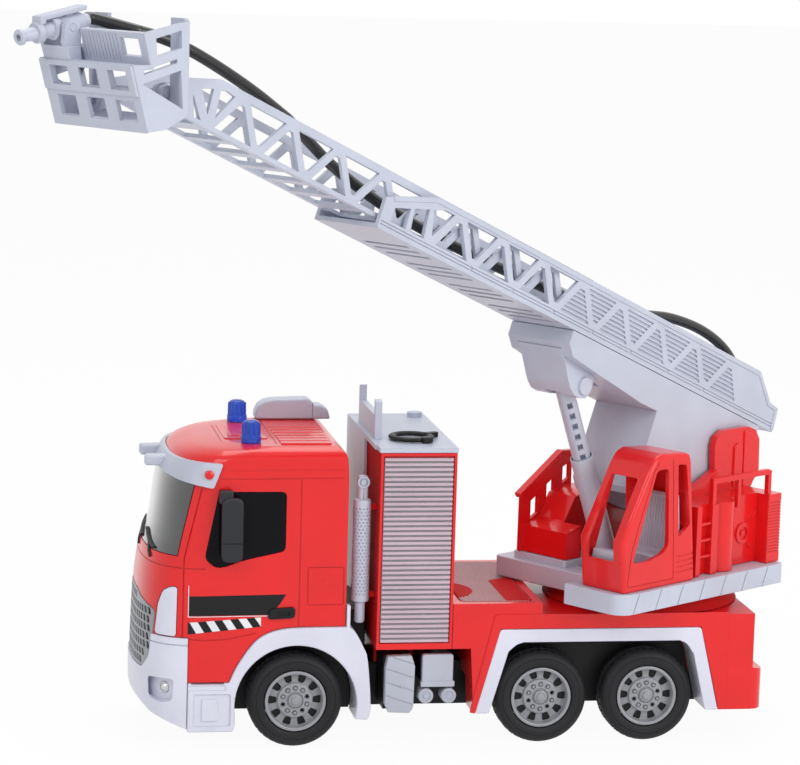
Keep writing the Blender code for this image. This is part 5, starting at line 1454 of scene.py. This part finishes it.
def w_panels(apex: float, count: int, low: float, high: float, pitch: float,
             strut: float) -> list[list[Point]]:
    """Return the openings of a W truss in side view.

    Args:
        apex: Place of the first opening that points up.
        count: Number of such openings.
        low: Height of the lower chord.
        high: Height of the upper chord.
        pitch: Distance between openings that point up.
        strut: Width of the struts.

    Returns:
        Outlines that point up and down in turn.
    """
    wide = pitch / 2 - 1.1 * strut
    tip = 0.35 * strut
    drop = 0.6 * strut
    outlines = []
    for number in range(count):
        up = -apex - number * pitch
        down = up + pitch / 2
        outlines.append([(up - wide, low), (up + wide, low), (up + tip, high - drop),
                         (up - tip, high - drop)])
        outlines.append([(down - wide, high), (down - tip, low + drop), (down + tip, low + drop),
                         (down + wide, high)])
    return outlines


@dataclass
class Turret:
    """Turning platform with the red housing, the operator's cab and its seat."""

    bottom: float = 74.6
    top: float = 85.2
    floor: float = 85.5
    half: float = 54.1
    rear: float = 53.3
    front: float = -54.5
    nose: float = -76.7
    step: float = -15.1
    corner: float = 9.0
    small: float = 3.0
    drum: float = 46.0
    deck: float = 67.2
    cab_outer: float = -51.0
    cab_inner: float = -22.4
    wall: float = 2.4
    cheek: float = 26.0
    hinge: Point = HINGE

    def platform(self) -> Mesh:
        """Return the grey platform with slanted grooves along its near side."""
        plan = [*arc((self.nose + self.corner, -self.half + self.corner), self.corner, 180, 270, 12),
                *arc((self.rear - self.small, -self.half + self.small), self.small, 270, 360, 6),
                *arc((self.rear - self.small, self.half - self.small), self.small, 0, 90, 6),
                *arc((self.front + self.small, self.half - self.small), self.small, 90, 180, 6),
                (self.front, self.step), (self.nose, self.step)]
        slab = softened(prism("XY", plan, self.bottom, self.top), 0.6)
        tier = softened(prism("XY", rounded(rectangle(-50.0, -12.0, 8.5, 45.0), 2.0), self.top - 2.0,
                              self.top + 3.6), 0.5)
        drum = turned([(0.0, self.deck), (self.drum - 0.8, self.deck), (self.drum, self.deck + 0.8),
                       (self.drum, self.bottom - 1.6), (self.drum - 0.8, self.bottom - 1.4),
                       (self.drum - 0.8, self.bottom + 2.0), (0.0, self.bottom + 2.0)], 120)
        well = block((-40.5, -8.5, self.top - 8.6), (-12.5, 8.5, self.top + 9.0))
        groove = prism("XZ", strip([(-68.2, self.bottom - 0.4), (-63.2, self.top + 0.4)], 0.6),
                       -self.half - 3.0, -self.half + 0.45)
        grooves = REPEATS.along(groove, 7, (17.2, 0.0, 0.0), GREY)
        return cut(joined(slab, tier, drum), well, grooves)

    def housing(self) -> Mesh:
        """Return the red housing with its ladder, louvres, cheek panels and rails."""
        mesh = carried("turret_housing", Seat.TURRET)
        recess = block((-10.3, -49.4, self.floor + 0.4), (-2.2, -45.2, 122.4))
        louvre = block((42.6, -51.0, 91.0), (54.0, -49.55, 91.6))
        mesh = cut(mesh, recess, REPEATS.along(louvre, 17, (0.0, 0.0, 1.65), RED))
        rungs = REPEATS.along(rod((-11.2, -47.6, 95.3), (-1.4, -47.6, 95.3), 0.9, 12), 3, (0.0, 0.0, 8.5),
                              RED)
        mesh = joined(mesh, rungs, self.motif())
        for _, side in SIDES:
            mesh = joined(mesh, self.cheek_panel(side))
        brace = softened(prism("XZ", [(3.0, 117.0), (3.0, 124.6), (25.5, 134.2), (35.0, 131.0),
                                      (11.5, 119.0)], -29.0, -24.0), 0.5)
        top_rail = softened(prism("XZ", strip([(-51.6, 118.4), (-19.6, 138.2), (-11.2, 137.5)], 2.8), 39.2,
                                  43.6), 0.5)
        return joined(mesh, brace, top_rail)

    def cheek_panel(self, side: int) -> Mesh:
        """Return the raised panels on one cheek, which also cover the hinge."""
        x, z = self.hinge
        tall = [(41.8, 123.0), (41.8, 142.6), *arc((45.2, 142.6), 3.4, 180, 0, 10), (48.6, 142.6),
                (48.6, 123.0)]
        back = rounded([(50.0, 118.0), (50.0, 152.4), (55.6, 150.4), (62.0, 145.6), (62.6, 131.0),
                        (57.0, 121.0)], 1.6)
        cover = rod((x, side * (self.cheek - 1.5), z), (x, side * (self.cheek - 0.05), z), 5.4, 32)
        return joined(flank(tall, side, self.cheek - 1.2, self.cheek + 1.0, 0.35), cover,
                      flank(back, side, self.cheek - 1.2, self.cheek + 0.8, 0.35))

    def motif(self) -> Mesh:
        """Return the ring with its lever on the near side."""
        ring = cut(rod((31.8, -42.9, 101.8), (31.8, -41.4, 101.8), 5.6, 40),
                   rod((31.8, -44, 101.8), (31.8, -41, 101.8), 3.4, 32))
        hub = rod((31.8, -42.7, 101.8), (31.8, -41.4, 101.8), 1.6, 20)
        lever = prism("XZ", strip([(34.9, 105.3), (42.2, 113.0)], 2.0), -42.8, -41.4)
        tail = prism("XZ", strip([(34.6, 97.8), (38.6, 93.6)], 1.6), -42.7, -41.4)
        return joined(ring, hub, lever, tail)

    def cab_profile(self) -> list[Point]:
        """Return the operator's cab in side view from its foot over the roof."""
        return [(-71.5, self.floor), (-75.0, 111.0),
                *smoothed([(-55.6, 145.0), (-50.9, 151.3), (-45.4, 153.6)]),
                *smoothed([(-27.0, 152.2), (-24.0, 151.0), (-22.5, 147.6)]), (-16.0, self.floor)]

    def operator_cab(self) -> Mesh:
        """Return the open cab with round roof edges, seams and louvres."""
        profile = self.cab_profile()
        deep = [(profile[0][0], self.floor - 6.0), *profile[1:-1], (profile[-1][0], self.floor - 6.0)]
        shell = softened(prism("XZ", deep, self.cab_outer, self.cab_inner), 2.2, 5, 40.0)
        inside = grown(profile, -self.wall)
        inside[0] = (inside[0][0], 0.0)
        inside[-1] = (inside[-1][0], 0.0)
        window = rounded([(-66.3, 100.0), (-54.4, 99.6), (-43.2, 102.2), (-38.8, 105.6), (-40.9, 145.7),
                          (-49.9, 145.5)], 2.6)
        quarter = rounded([(-33.7, 147.0), (-27.0, 146.2), (-22.4, 114.8), (-31.2, 109.0)], 1.4)
        screen = rounded(rectangle(self.cab_outer + 6.0, self.cab_inner - 5.0, 101.0, 141.5), 1.4)
        far = 200.0
        shell = cut(shell, block((-far, -far, 0.0), (far, far, self.floor)),
                    prism("XZ", inside, self.cab_outer + self.wall, self.cab_inner - self.wall),
                    prism("XZ", window, -far, 0), prism("XZ", quarter, -far, 0),
                    prism("YZ", screen, -far, -50))
        near = (self.cab_outer - 2.0, self.cab_outer + 0.45)
        front_seam = [(-69.4, 88.0), (-69.4, 92.0), (-67.2, 106.3), (-61.9, 120.5), (-56.5, 133.3),
                      (-51.9, 145.2), (-48.6, 149.3)]
        louvre = prism("XZ", strip([(-32.4, 91.2), (-19.6, 91.5)], 1.0), *near)
        return cut(shell, prism("XZ", strip(front_seam, 0.5), *near),
                   prism("XZ", strip([(-37.7, 150.0), (-34.1, 88.0)], 0.5), *near),
                   prism("XZ", strip([(-69.4, 88.2), (-34.1, 88.2)], 0.5), *near),
                   REPEATS.along(louvre, 4, (0.1, 0.0, 2.7), RED))

    def seat(self) -> Mesh:
        """Return the grey seat with a ribbed back and the console in front of it."""
        low = self.cab_outer + self.wall + 1.5
        high = self.cab_inner - self.wall - 1.5
        outline = [(-66.0, self.floor), (-69.6, 100.0), (-68.4, 104.6), (-64.0, 104.6), (-61.5, 88.0),
                   (-48.0, 88.0), (-47.0, 101.0), (-35.4, 100.0), (-32.0, 129.5), (-27.0, 130.0),
                   (-24.5, 98.0), (-23.5, self.floor)]
        mesh = softened(prism("XZ", outline, low, high), 0.7)
        groove = prism("XZ", strip([(-36.0, 102.5), (-32.8, 128.5)], 2.4), low + 1.6, low + 2.5)
        return cut(mesh, REPEATS.along(groove, 10, (0.0, 1.9, 0.0), GREY))

    def build(self) -> None:
        """Place the turret's pieces."""
        stand_in("turntable_platform", self.platform(), GREY, "turret", Seat.TURRET)
        stand_in("turret_housing", self.housing(), RED, "turret", Seat.TURRET)
        stand_in("operator_cab", self.operator_cab(), RED, "turret", Seat.TURRET, smooth=40.0)
        stand_in("operator_seat", self.seat(), GREY, "turret", Seat.TURRET)
        x, z = self.hinge
        end = self.cheek - 1.7
        pin = rod((x, -end, z), (x, end, z), 3.9, 32, 0.4)
        stand_in("boom_pivot_pin", pin, STEEL, "turret", Seat.TURRET)


@dataclass
class Boom:
    """Carrier, ladders and lift cylinder."""

    half: float = 21.0
    pitch: float = 32.4
    chord: float = 27.5
    rail: float = 44.9
    strut: float = 4.1
    first_panel: float = 22.3
    panels: int = 5
    fly_panel: float = 172.7
    fly_low: float = 29.1
    fly_high: float = 46.2
    fly_pitch: float = 32.3
    fly_strut: float = 3.9
    rod_radius: float = 4.7
    barrel_radius: float = 6.0
    lift_length: float = 109.63
    barrel_length: float = 66.5

    def outer_ladder(self) -> Mesh:
        """Return the outer ladder with louvred panels, a raised rim and fine lines on its sides."""
        mesh = carried("outer_ladder", Seat.BOOM)
        outlines = w_panels(self.first_panel, self.panels, self.chord, self.rail, self.pitch, self.strut)
        del outlines[1]
        rim = strip([(-296.0, 38.0), (-268.0, 47.3), (3.4, 47.3), (18.4, 34.8), (25.8, 34.0), (26.8, 22.9)],
                    2.5)
        for _, side in SIDES:
            deep = span(side, self.half - 0.9, self.half + 2.0)
            shallow = span(side, self.half - 0.4, self.half + 2.0)
            ground = gathered([prism("XZ", outline, *deep) for outline in outlines])
            bar = flank(rectangle(-200.0, 60.0, 28.9, 29.9), side, self.half - 1.6, self.half + 3.0)
            ground = cut(ground, REPEATS.along(bar, 8, (0.0, 0.0, 2.2), GREY))
            routes = [[(-300.0, height), (27.0, height)] for height in (24.4, 25.9)]
            lines = [prism("XZ", strip(route, 0.35), *shallow) for route in routes]
            dimple = rod((-38.5, side * (self.half - 0.5), 25.2), (-38.5, side * (self.half + 1.0), 25.2),
                         1.1, 16)
            dimples = REPEATS.along(dimple, 7, (-self.pitch, 0.0, 0.0), GREY)
            edge = flank(rim, side, self.half - 0.6, self.half + 0.5, 0.2)
            mesh = joined(cut(mesh, ground, *lines, dimples), edge)
        return mesh

    def inner_ladder(self) -> Mesh:
        """Return the inner ladder with its truss carried on inside the outer ladder."""
        mesh = carried("inner_ladder", Seat.BOOM)
        outlines = w_panels(self.fly_panel, 2, self.fly_low, self.fly_high, self.fly_pitch, self.fly_strut)
        return cut(mesh, *[prism("XZ", outline, -self.half, self.half) for outline in outlines])

    def rod(self) -> Mesh:
        """Return the cylinder's rod with a row of slots down its left side."""
        mesh = carried("cylinder_rod", Seat.LIFT)
        slot = block((-6.0, -1.4, -1.6), (-1.2, 1.4, 1.6))
        slot.transform(local(55.0, "Z", 0.0, 0.0, -12.0))
        return cut(mesh, REPEATS.along(slot, 9, (0.0, 0.0, -6.0), GREY))

    def barrel(self) -> Mesh:
        """Return the barrel with its open top."""
        top = -self.lift_length + self.barrel_length
        low = -self.lift_length
        radius = self.barrel_radius
        bore = self.rod_radius + 0.35
        profile = [(0.0, low + 6.0), (bore, low + 6.0), (bore, top - 2.6), (radius - 0.75, top - 2.2),
                   (radius - 0.6, top - 0.2), (radius - 0.4, top), (radius - 0.1, top - 0.1),
                   (radius, top - 0.5), (radius, low),
                   *[(radius * math.cos(t), low - radius * 0.7 * math.sin(t)) for t in (0.4, 0.8, 1.2)],
                   (0.0, low - radius * 0.7)]
        return turned(profile, 64)

    def build(self) -> None:
        """Place the boom's pieces."""
        stand_in("outer_ladder", self.outer_ladder(), GREY, "boom", Seat.BOOM)
        stand_in("inner_ladder", self.inner_ladder(), GREY, "fly", Seat.BOOM)
        stand_in("cylinder_rod", self.rod(), GREY, "rod", Seat.LIFT)
        stand_in("cylinder_barrel", self.barrel(), GREY, "barrel", Seat.LIFT)
        collar_low = -self.lift_length + self.barrel_length - 2.5
        ring = cut(rod((0, 0, collar_low), (0, 0, collar_low + 1.6), self.barrel_radius - 0.75, 48),
                   rod((0, 0, collar_low - 1), (0, 0, collar_low + 3), self.rod_radius + 0.1, 48))
        piece("cylinder_seal", ring, BLACK, "barrel", Seat.LIFT)


@dataclass
class Basket:
    """Basket with a stepped window front and its water cannon."""

    lean: float = 17.0
    foot: Point = (-20.0, -15.8)
    half: float = 30.7
    window: float = 12.0
    first_left: float = -26.8
    pitch: float = 19.4
    crest: Point = (-18.9, 13.19)

    def leaning(self, mesh: Mesh, foot: Point) -> Mesh:
        """Return a plate set on the basket's leaning front."""
        mesh.transform(local(-self.lean, "Y", foot[0], 0.0, foot[1]))
        return mesh

    def shell(self) -> Mesh:
        """Return the basket with the step between its window rows and the ribbed upper panel."""
        mesh = carried("basket", Seat.BASKET)
        rows = prism("YZ", rectangle(-self.half, self.half, 16.4, 30.0), -1.0, 0.5)
        opening = prism("YZ", rectangle(self.first_left, self.first_left + self.window, 19.0, 27.6), -3.0,
                        3.0)
        rows = cut(softened(rows, 0.3), REPEATS.along(opening, 3, (0.0, self.pitch, 0.0), GREY))
        groove = prism("YZ", rectangle(-12.5, -12.1, 0.8, 13.0), -1.0, 0.3)
        ribs = REPEATS.along(groove, 11, (0.0, 2.2, 0.0), GREY)
        x, y, _ = CANNON_PIVOT
        base = prism("XZ", [(x - 2.6, 12.5), (x - 4.6, 19.0), (x + 3.5, 19.0), (x + 4.5, 12.5)], y - 9.5,
                     y + 7.0)
        mesh = joined(mesh, self.leaning(rows, self.foot), softened(base, 0.5))
        return cut(mesh, self.leaning(ribs, self.crest))

    def cannon(self) -> Mesh:
        """Return the cannon with its flanged nozzle, drum, ear discs and cover bar."""
        profile = [(0.0, 17.0), (1.5, 17.0), (1.5, 23.6), (3.2, 23.6), (3.5, 23.2), (3.5, 22.0), (3.1, 21.6),
                   (2.5, 21.4), (3.1, 14.7), (4.3, 14.6), (4.6, 14.2), (4.6, 11.8), (4.3, 11.4), (3.5, 11.4),
                   (3.4, 5.6), (4.7, 5.5), (5.0, 5.2), (5.0, 2.8), (4.7, 2.4), (4.2, 2.1), (4.2, -10.4),
                   (3.9, -11.2), (3.0, -12.5), (3.0, -CANNON_TAIL), (0.0, -CANNON_TAIL)]
        mesh = turned(profile, 48)
        mesh.transform(Matrix.Rotation(-math.pi / 2 - math.radians(CANNON_DIP), 4, "Y"))
        rise = math.tan(math.radians(CANNON_DIP))
        bar = [(-13.5, 3.5 - 13.5 * rise), (-13.5, 7.2 - 13.5 * rise), (12.0, 7.2 + 12.0 * rise),
               (12.0, 5.0 + 12.0 * rise), (-10.5, 5.0 - 10.5 * rise), (-10.5, 3.5 - 10.5 * rise)]
        post = [(2.0, 3.0), (2.0, 6.9), (5.5, 7.6), (5.5, 3.0)]
        pin = rod((0, -8.6, 0), (0, 8.6, 0), 1.7, 32, 0.2)
        return joined(mesh, softened(prism("XZ", bar, -3.2, 3.2), 0.5), prism("XZ", post, -1.0, 1.0), pin)

    def build(self) -> None:
        """Place the basket's pieces."""
        stand_in("basket", self.shell(), GREY, "basket_body", Seat.BASKET)
        stand_in("water_cannon", self.cannon(), GREY, "cannon", Seat.CANNON)


@dataclass
class Tower:
    """Equipment tower with its lid, shutters, exhaust stack and the units below."""

    half: float = 51.2
    front: float = -62.8
    shutter_front: float = -60.9
    shutter_rear: float = -25.9
    slat_low: float = 54.1
    slat_height: float = 1.5
    slat_pitch: float = 2.515
    slat_count: int = 38
    panel_edge: float = -8.0
    exhaust: Point = (-70.3, -42.0)
    ring: Point = (-43.7, -27.0)
    lid: float = 153.8
    unit_outer: float = 49.5
    air_places: Point = (-36.0, -24.2)

    def slats(self, side: int) -> Mesh:
        """Return the slats of one shutter."""
        low, high = span(side, self.half - 1.6, self.half + 0.35)
        top = self.slat_low + self.slat_height
        slat = softened(block((self.shutter_front, low, self.slat_low), (self.shutter_rear, high, top)), 0.3)
        return REPEATS.along(slat, self.slat_count, (0.0, 0.0, self.slat_pitch), SHUTTER)

    def ground(self, side: int) -> Mesh:
        """Return the dark sheet behind one shutter's slats, painted shade for the shaded gaps between them."""
        low, high = span(side, self.half - 1.55, self.half - 0.9)
        top = self.slat_low + self.slat_count * self.slat_pitch - 1.0
        return block((self.shutter_front, low, self.slat_low), (self.shutter_rear, high, top))

    def bulkhead(self) -> Mesh:
        """Return the dark frame between cab and tower."""
        return softened(block((-77.6, -28.0, 36.8), (self.front - 2.0, 28.0, 66.0)), 0.8)

    def front_skin(self) -> Mesh:
        """Return the shaded part of the tower's front beside the lid's panel."""
        return block((self.front - 0.14, 0.6 - self.half, 52.6),
                     (self.front - 0.02, self.panel_edge - 0.3, 151.2))

    def lid_form(self) -> Mesh:
        """Return the lid with its cradle and the front panel cut to its real width."""
        mesh = carried("tower_lid", Seat.TRUCK)
        return cut(mesh, block((-67.0, -60.0, 40.0), (self.front - 0.15, self.panel_edge, 151.45)))

    def lid_ring(self) -> Mesh:
        """Return the black ring with a round edge, its spout and its clasp."""
        turns = [math.tau * number / 14 for number in range(14)]
        section = [(9.8 + 1.9 * math.cos(turn), 1.25 + 1.25 * math.sin(turn)) for turn in turns]
        spout = rounded([(8.6, 1.0), (15.2, 5.4), (13.6, 8.2), (6.8, 5.0)], 0.8)
        clasp = rounded([(4.0, -12.8), (9.4, -11.4), (8.2, -7.0), (3.4, -8.4)], 0.8)
        mesh = joined(turned(section, 72, closed=True), softened(prism("XY", spout, 0.0, 2.7), 0.4),
                      softened(prism("XY", clasp, 0.0, 2.9), 0.4))
        return shifted(mesh, self.ring[0], self.ring[1], self.lid + GAP)

    def stack(self) -> Mesh:
        """Return the exhaust stack with its perforated guard and its outlet."""
        profile = [(0.0, 138.5), (1.6, 138.4), (2.4, 137.9), (2.75, 137.0), (2.75, 126.7), (4.2, 126.1),
                   (4.5, 125.4), (4.5, 74.7), (4.2, 74.0), (2.7, 73.4), (2.6, 64.0), (2.2, 62.9), (0.0, 62.7)]
        hole = rod((-0.5, 0.0, 78.0), (1.0, 0.0, 78.0), 0.55, 6)
        rows = REPEATS.along(REPEATS.around(hole, 14, 4.5, GREY), 13, (0.0, 0.0, 3.5), GREY)
        between = shifted(rows, z=1.75)
        between.transform(Matrix.Rotation(math.pi / 14, 4, "Z"))
        outlet = cut(rod((0, 0.6, 135.3), (0, -3.2, 135.3), 3.1, 28),
                     rod((0, -2.2, 135.3), (0, -4, 135.3), 2.2, 24))
        outlet = joined(outlet, rod((0, 0, 135.3), (0, -3.0, 135.3), 1.4, 20))
        mesh = joined(cut(turned(profile, 48), rows, between), outlet)
        return shifted(mesh, self.exhaust[0], self.exhaust[1])

    def clamps(self) -> Mesh:
        """Return the two clamps that hold the stack on the tower."""
        x, y = self.exhaust
        end = self.front - 0.05
        clamps = [block((x + 2.0, y - 1.5, z), (end, y + 1.5, z + 2.6)) for z in (76.0, 121.0)]
        return gathered([softened(clamp, 0.3) for clamp in clamps])

    def tank(self, side: int) -> Mesh:
        """Return the tank's grooved front with its filler cap on one side."""
        face = self.unit_outer
        outline = [(-56.2, 46.4), (-44.0, 46.8), (-42.1, 41.0), (-42.5, 19.5), (-44.4, 16.7), (-55.4, 17.2),
                   (-57.4, 21.5), (-57.4, 40.5)]
        mesh = flank(outline, side, face - 5.0, face, 0.7)
        groove = flank(strip([(-60.0, 27.0), (-41.0, 20.6)], 0.5), side, face - 0.3, 60.0)
        cap = rod((-48.6, side * (face - 0.6), 31.0), (-48.6, side * (face + 0.4), 31.0), 0.9, 24)
        return joined(cut(mesh, REPEATS.along(groove, 4, (0.0, 0.0, 7.0), PALE)), cap)

    def case(self, side: int) -> Mesh:
        """Return the box above the air cylinders on one side."""
        face = self.unit_outer
        lid = flank(rounded(rectangle(-38.2, -22.2, 30.6, 46.9), 1.6), side, face - 5.0, face - 1.5)
        foot = flank(rounded(rectangle(-38.8, -21.4, 30.0, 33.0), 0.8), side, face - 4.0, face - 0.9)
        return joined(softened(lid, 0.6), softened(foot, 0.4))

    def air_cylinder(self, side: int, x: float) -> Mesh:
        """Return one air cylinder with its ringed end.

        Args:
            side: Side of the truck, minus for left.
            x: Place along the truck.

        Returns:
            The new mesh.
        """
        profile = [(0.0, 0.0), (1.2, 0.0), (1.4, -0.5), (2.3, -0.5), (2.5, 0.0), (3.4, -0.1), (3.9, -0.7),
                   (3.9, -9.0), (0.0, -9.0)]
        mesh = turned(profile, 36)
        mesh.transform(local(-side * 90.0, "X", x, side * (self.unit_outer - 1.0), 25.2))
        return mesh

    def core(self, side: int) -> Mesh:
        """Return the dark frame behind the units of one side."""
        low, high = span(side, 21.8, self.unit_outer - 5.2)
        return gathered([block((-57.6, low, 18.0), (-43.2, high, 46.0)),
                         block((-38.6, low, 32.4), (-23.2, high, 46.0))])

    def build(self) -> None:
        """Place the tower's pieces."""
        for name, side in SIDES:
            stand_in("shutter_" + name, self.slats(side), SHUTTER)
            # A sheet behind the slats, painted shade for the shaded gaps
            piece("shutter_ground_" + name, self.ground(side), RIM)
            air = [self.air_cylinder(side, x) for x in self.air_places]
            units = gathered([self.tank(side), self.case(side), *air])
            stand_in("side_unit_" + name, units, PALE)
            piece("side_frame_" + name, self.core(side), BLACK)
        stand_in("tower_lid", self.lid_form(), GREY)
        stand_in("lid_ring", self.lid_ring(), BLACK, smooth=50.0)
        stand_in("exhaust_stack", self.stack(), GREY)
        # The clamps and the front skin are red with painted shade
        piece("exhaust_clamps", self.clamps(), PAINTED_SHADE_RED)
        piece("tower_front_skin", self.front_skin(), PAINTED_SHADE_RED)
        piece("frame_bulkhead", self.bulkhead(), BLACK)


@dataclass
class Deck:
    """Deck between tower and turret with its ribbed tread and smooth pads."""

    top: float = 73.7
    front: float = -19.2
    rear: float = 18.0
    half: float = 46.7
    lean: float = 43.0
    rib: float = 0.62
    rib_pitch: float = 1.35
    rib_count: int = 60

    def plan(self) -> list[Point]:
        """Return the tread's corners in plan."""
        return rectangle(self.front, self.rear, -self.half, self.half)

    def tread(self) -> Mesh:
        """Return the tread's slanting ribs, whose pale finish is a painted highlight on red ridges."""
        start = self.front - self.lean
        reach = self.half + 1.0
        bar = [(start, -reach), (start + self.rib, -reach), (self.front + self.rib, reach),
               (self.front, reach)]
        ribs = REPEATS.along(prism("XY", bar, self.top - 0.5, self.top + 0.3), self.rib_count,
                             (self.rib_pitch, 0.0, 0.0), TREAD_HIGHLIGHT)
        inner = prism("XY", rounded(grown(self.plan(), -0.6), 2.6), self.top - 2.0, self.top + 2.0)
        return common(ribs, inner)

    def pads(self) -> Mesh:
        """Return the tread's ground and the smooth pads on its near half, in red with painted shade between the
        ribs and on the pads.
        """
        edge = self.front + 0.4
        bulge = [point for point in arc((-29.0, -20.5), 20.5, 61, -61, 24) if point[0] > edge]
        bulge = [(edge, bulge[0][1]), *bulge, (edge, bulge[-1][1])]
        slope = rounded([(4.4, -45.8), (4.2, 0.4), (15.0, 7.2), (17.2, 6.0), (17.2, -45.8)], 1.0)
        base = prism("XY", rounded(self.plan(), 3.0), self.top - 1.2, self.top - 0.15)
        pads = [softened(prism("XY", edge, self.top - 0.14, self.top + 0.45), 0.2) for edge in (bulge, slope)]
        return gathered([base, *pads])

    def collar(self) -> Mesh:
        """Return the low collar round the turntable's drum, red with painted shade for the shadowed gap under the
        platform.
        """
        ring = [(46.3, 67.3), (51.0, 67.3), (48.4, 70.2), (47.6, 74.1), (46.3, 74.1)]
        return shifted(turned(ring, 120, closed=True), x=TURRET_X)

    def build(self) -> None:
        """Place the tread, its pads and the turntable's collar."""
        # The collar and the pads are red with painted shade; the tread's pale ribs carry a painted highlight
        piece("turntable_collar", self.collar(), PAINTED_SHADE_RED)
        stand_in("deck_tread", self.tread(), TREAD_HIGHLIGHT)
        piece("deck_pads", self.pads(), PAINTED_SHADE_RED)


@dataclass
class CabTop:
    """Beacons, roof unit, mirrors and marker lenses on the cab."""

    roof: float = 153.6
    beacon: Place = (-126.0, 31.0, 5.2)
    unit_front: float = -118.0
    unit_seam: float = -85.6
    lens: Place = (-148.9, 51.9, 140.4)

    def beacon_form(self, side: int) -> Mesh:
        """Return one fluted beacon on its foot."""
        x, y, radius = self.beacon
        profile = [(0.0, 11.3), (2.4, 11.1), (3.7, 10.5), (4.3, 9.4), (4.5, 3.4), (radius, 3.1),
                   (radius, 0.4), (5.0, 0.0), (0.0, 0.0)]
        flute = rod((0.0, 0.0, 3.2), (-0.15, 0.0, 9.8), 0.42, 8)
        mesh = joined(turned(profile, 56), REPEATS.around(flute, 14, 4.45, BLUE))
        return shifted(mesh, x, side * y, self.roof)

    def roof_unit(self) -> Mesh:
        """Return the roof unit with its lower rear part and the seam between."""
        profile = [(2.0, 0.0), (2.4, 4.0), (4.0, 7.4), (7.0, 9.4), (11.0, 10.3), (30.0, 10.9), (32.0, 9.6),
                   (33.0, 7.6), (37.0, 7.4), (40.4, 5.4), (42.0, 0.0)]
        outline = [(self.unit_front + along, self.roof + up) for along, up in profile]
        mesh = softened(prism("XZ", outline, 35.0, 46.0), 1.3, 4, 24.0)
        seam = prism("XZ", strip([(self.unit_seam, self.roof - 1.0), (self.unit_seam, self.roof + 16.0)],
                                 0.5), 10.0, 60.0)
        return cut(mesh, cut(seam, block((-200, 35.5, 0), (0, 45.5, self.roof + 7.2))))

    def mirror(self, side: int) -> Mesh:
        """Return one mirror with the seam in its lower third."""
        head = flank(rounded(rectangle(-142.8, -132.0, 97.4, 129.6), 3.6), side, 53.0, 58.5)
        arm = flank(rectangle(-144.0, -137.0, 126.5, 133.2), side, 50.4, 56.5)
        seam = flank(strip([(-150.0, 107.0), (-120.0, 107.0)], 0.6), side, 57.9, 62.0)
        return cut(joined(softened(head, 1.2, 4), softened(arm, 1.0)), seam)

    def marker(self, side: int) -> Mesh:
        """Return one small round lens at the end of the visor."""
        mesh = turned([(0.0, 0.9), (1.2, 0.8), (2.0, 0.4), (2.3, -0.4), (2.3, -1.6), (0.0, -1.6)], 32)
        x, y, z = self.lens
        mesh.transform(local(-side * 90.0, "X", x, side * y, z))
        return mesh

    def build(self) -> None:
        """Place the pieces on the cab."""
        for name, side in SIDES:
            stand_in("beacon_" + name, self.beacon_form(side), BLUE)
            stand_in("mirror_" + name, self.mirror(side), DARK)
            piece("visor_lens_" + name, self.marker(side), RED)
        stand_in("roof_unit", self.roof_unit(), GREY)


PLAIN_FINISHES: dict[str, Finish] = {
    finish.slot: finish for finish in (RED, WHITE, GREY, PALE, SHUTTER, TREAD_HIGHLIGHT, DARK, RIM, BLACK, HOSE, TYRE,
                                       GLAZING, BLUE, STEEL)}


def dress_remaining() -> None:
    """Refine every node that no piece stands for yet."""
    for entry in frame["record"]["subparts"]:
        node = entry["node"]
        if not frame["nodes"][node].hide_render:
            body = frame["nodes"][node]["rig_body"]
            stand_in(node, carried(node, Seat.TRUCK), PLAIN_FINISHES[entry["material_slot"]], body)


def main() -> None:
    """Build the toy's looks in order."""
    logging.basicConfig(level=logging.INFO, format="%(message)s")
    for assembly in (Studio, Hose, Wheels, Cab, Fenders, Turret, Boom, Basket, Tower, Deck, CabTop):
        assembly().build()
    dress_remaining()


if __name__ == "__main__":
    main()
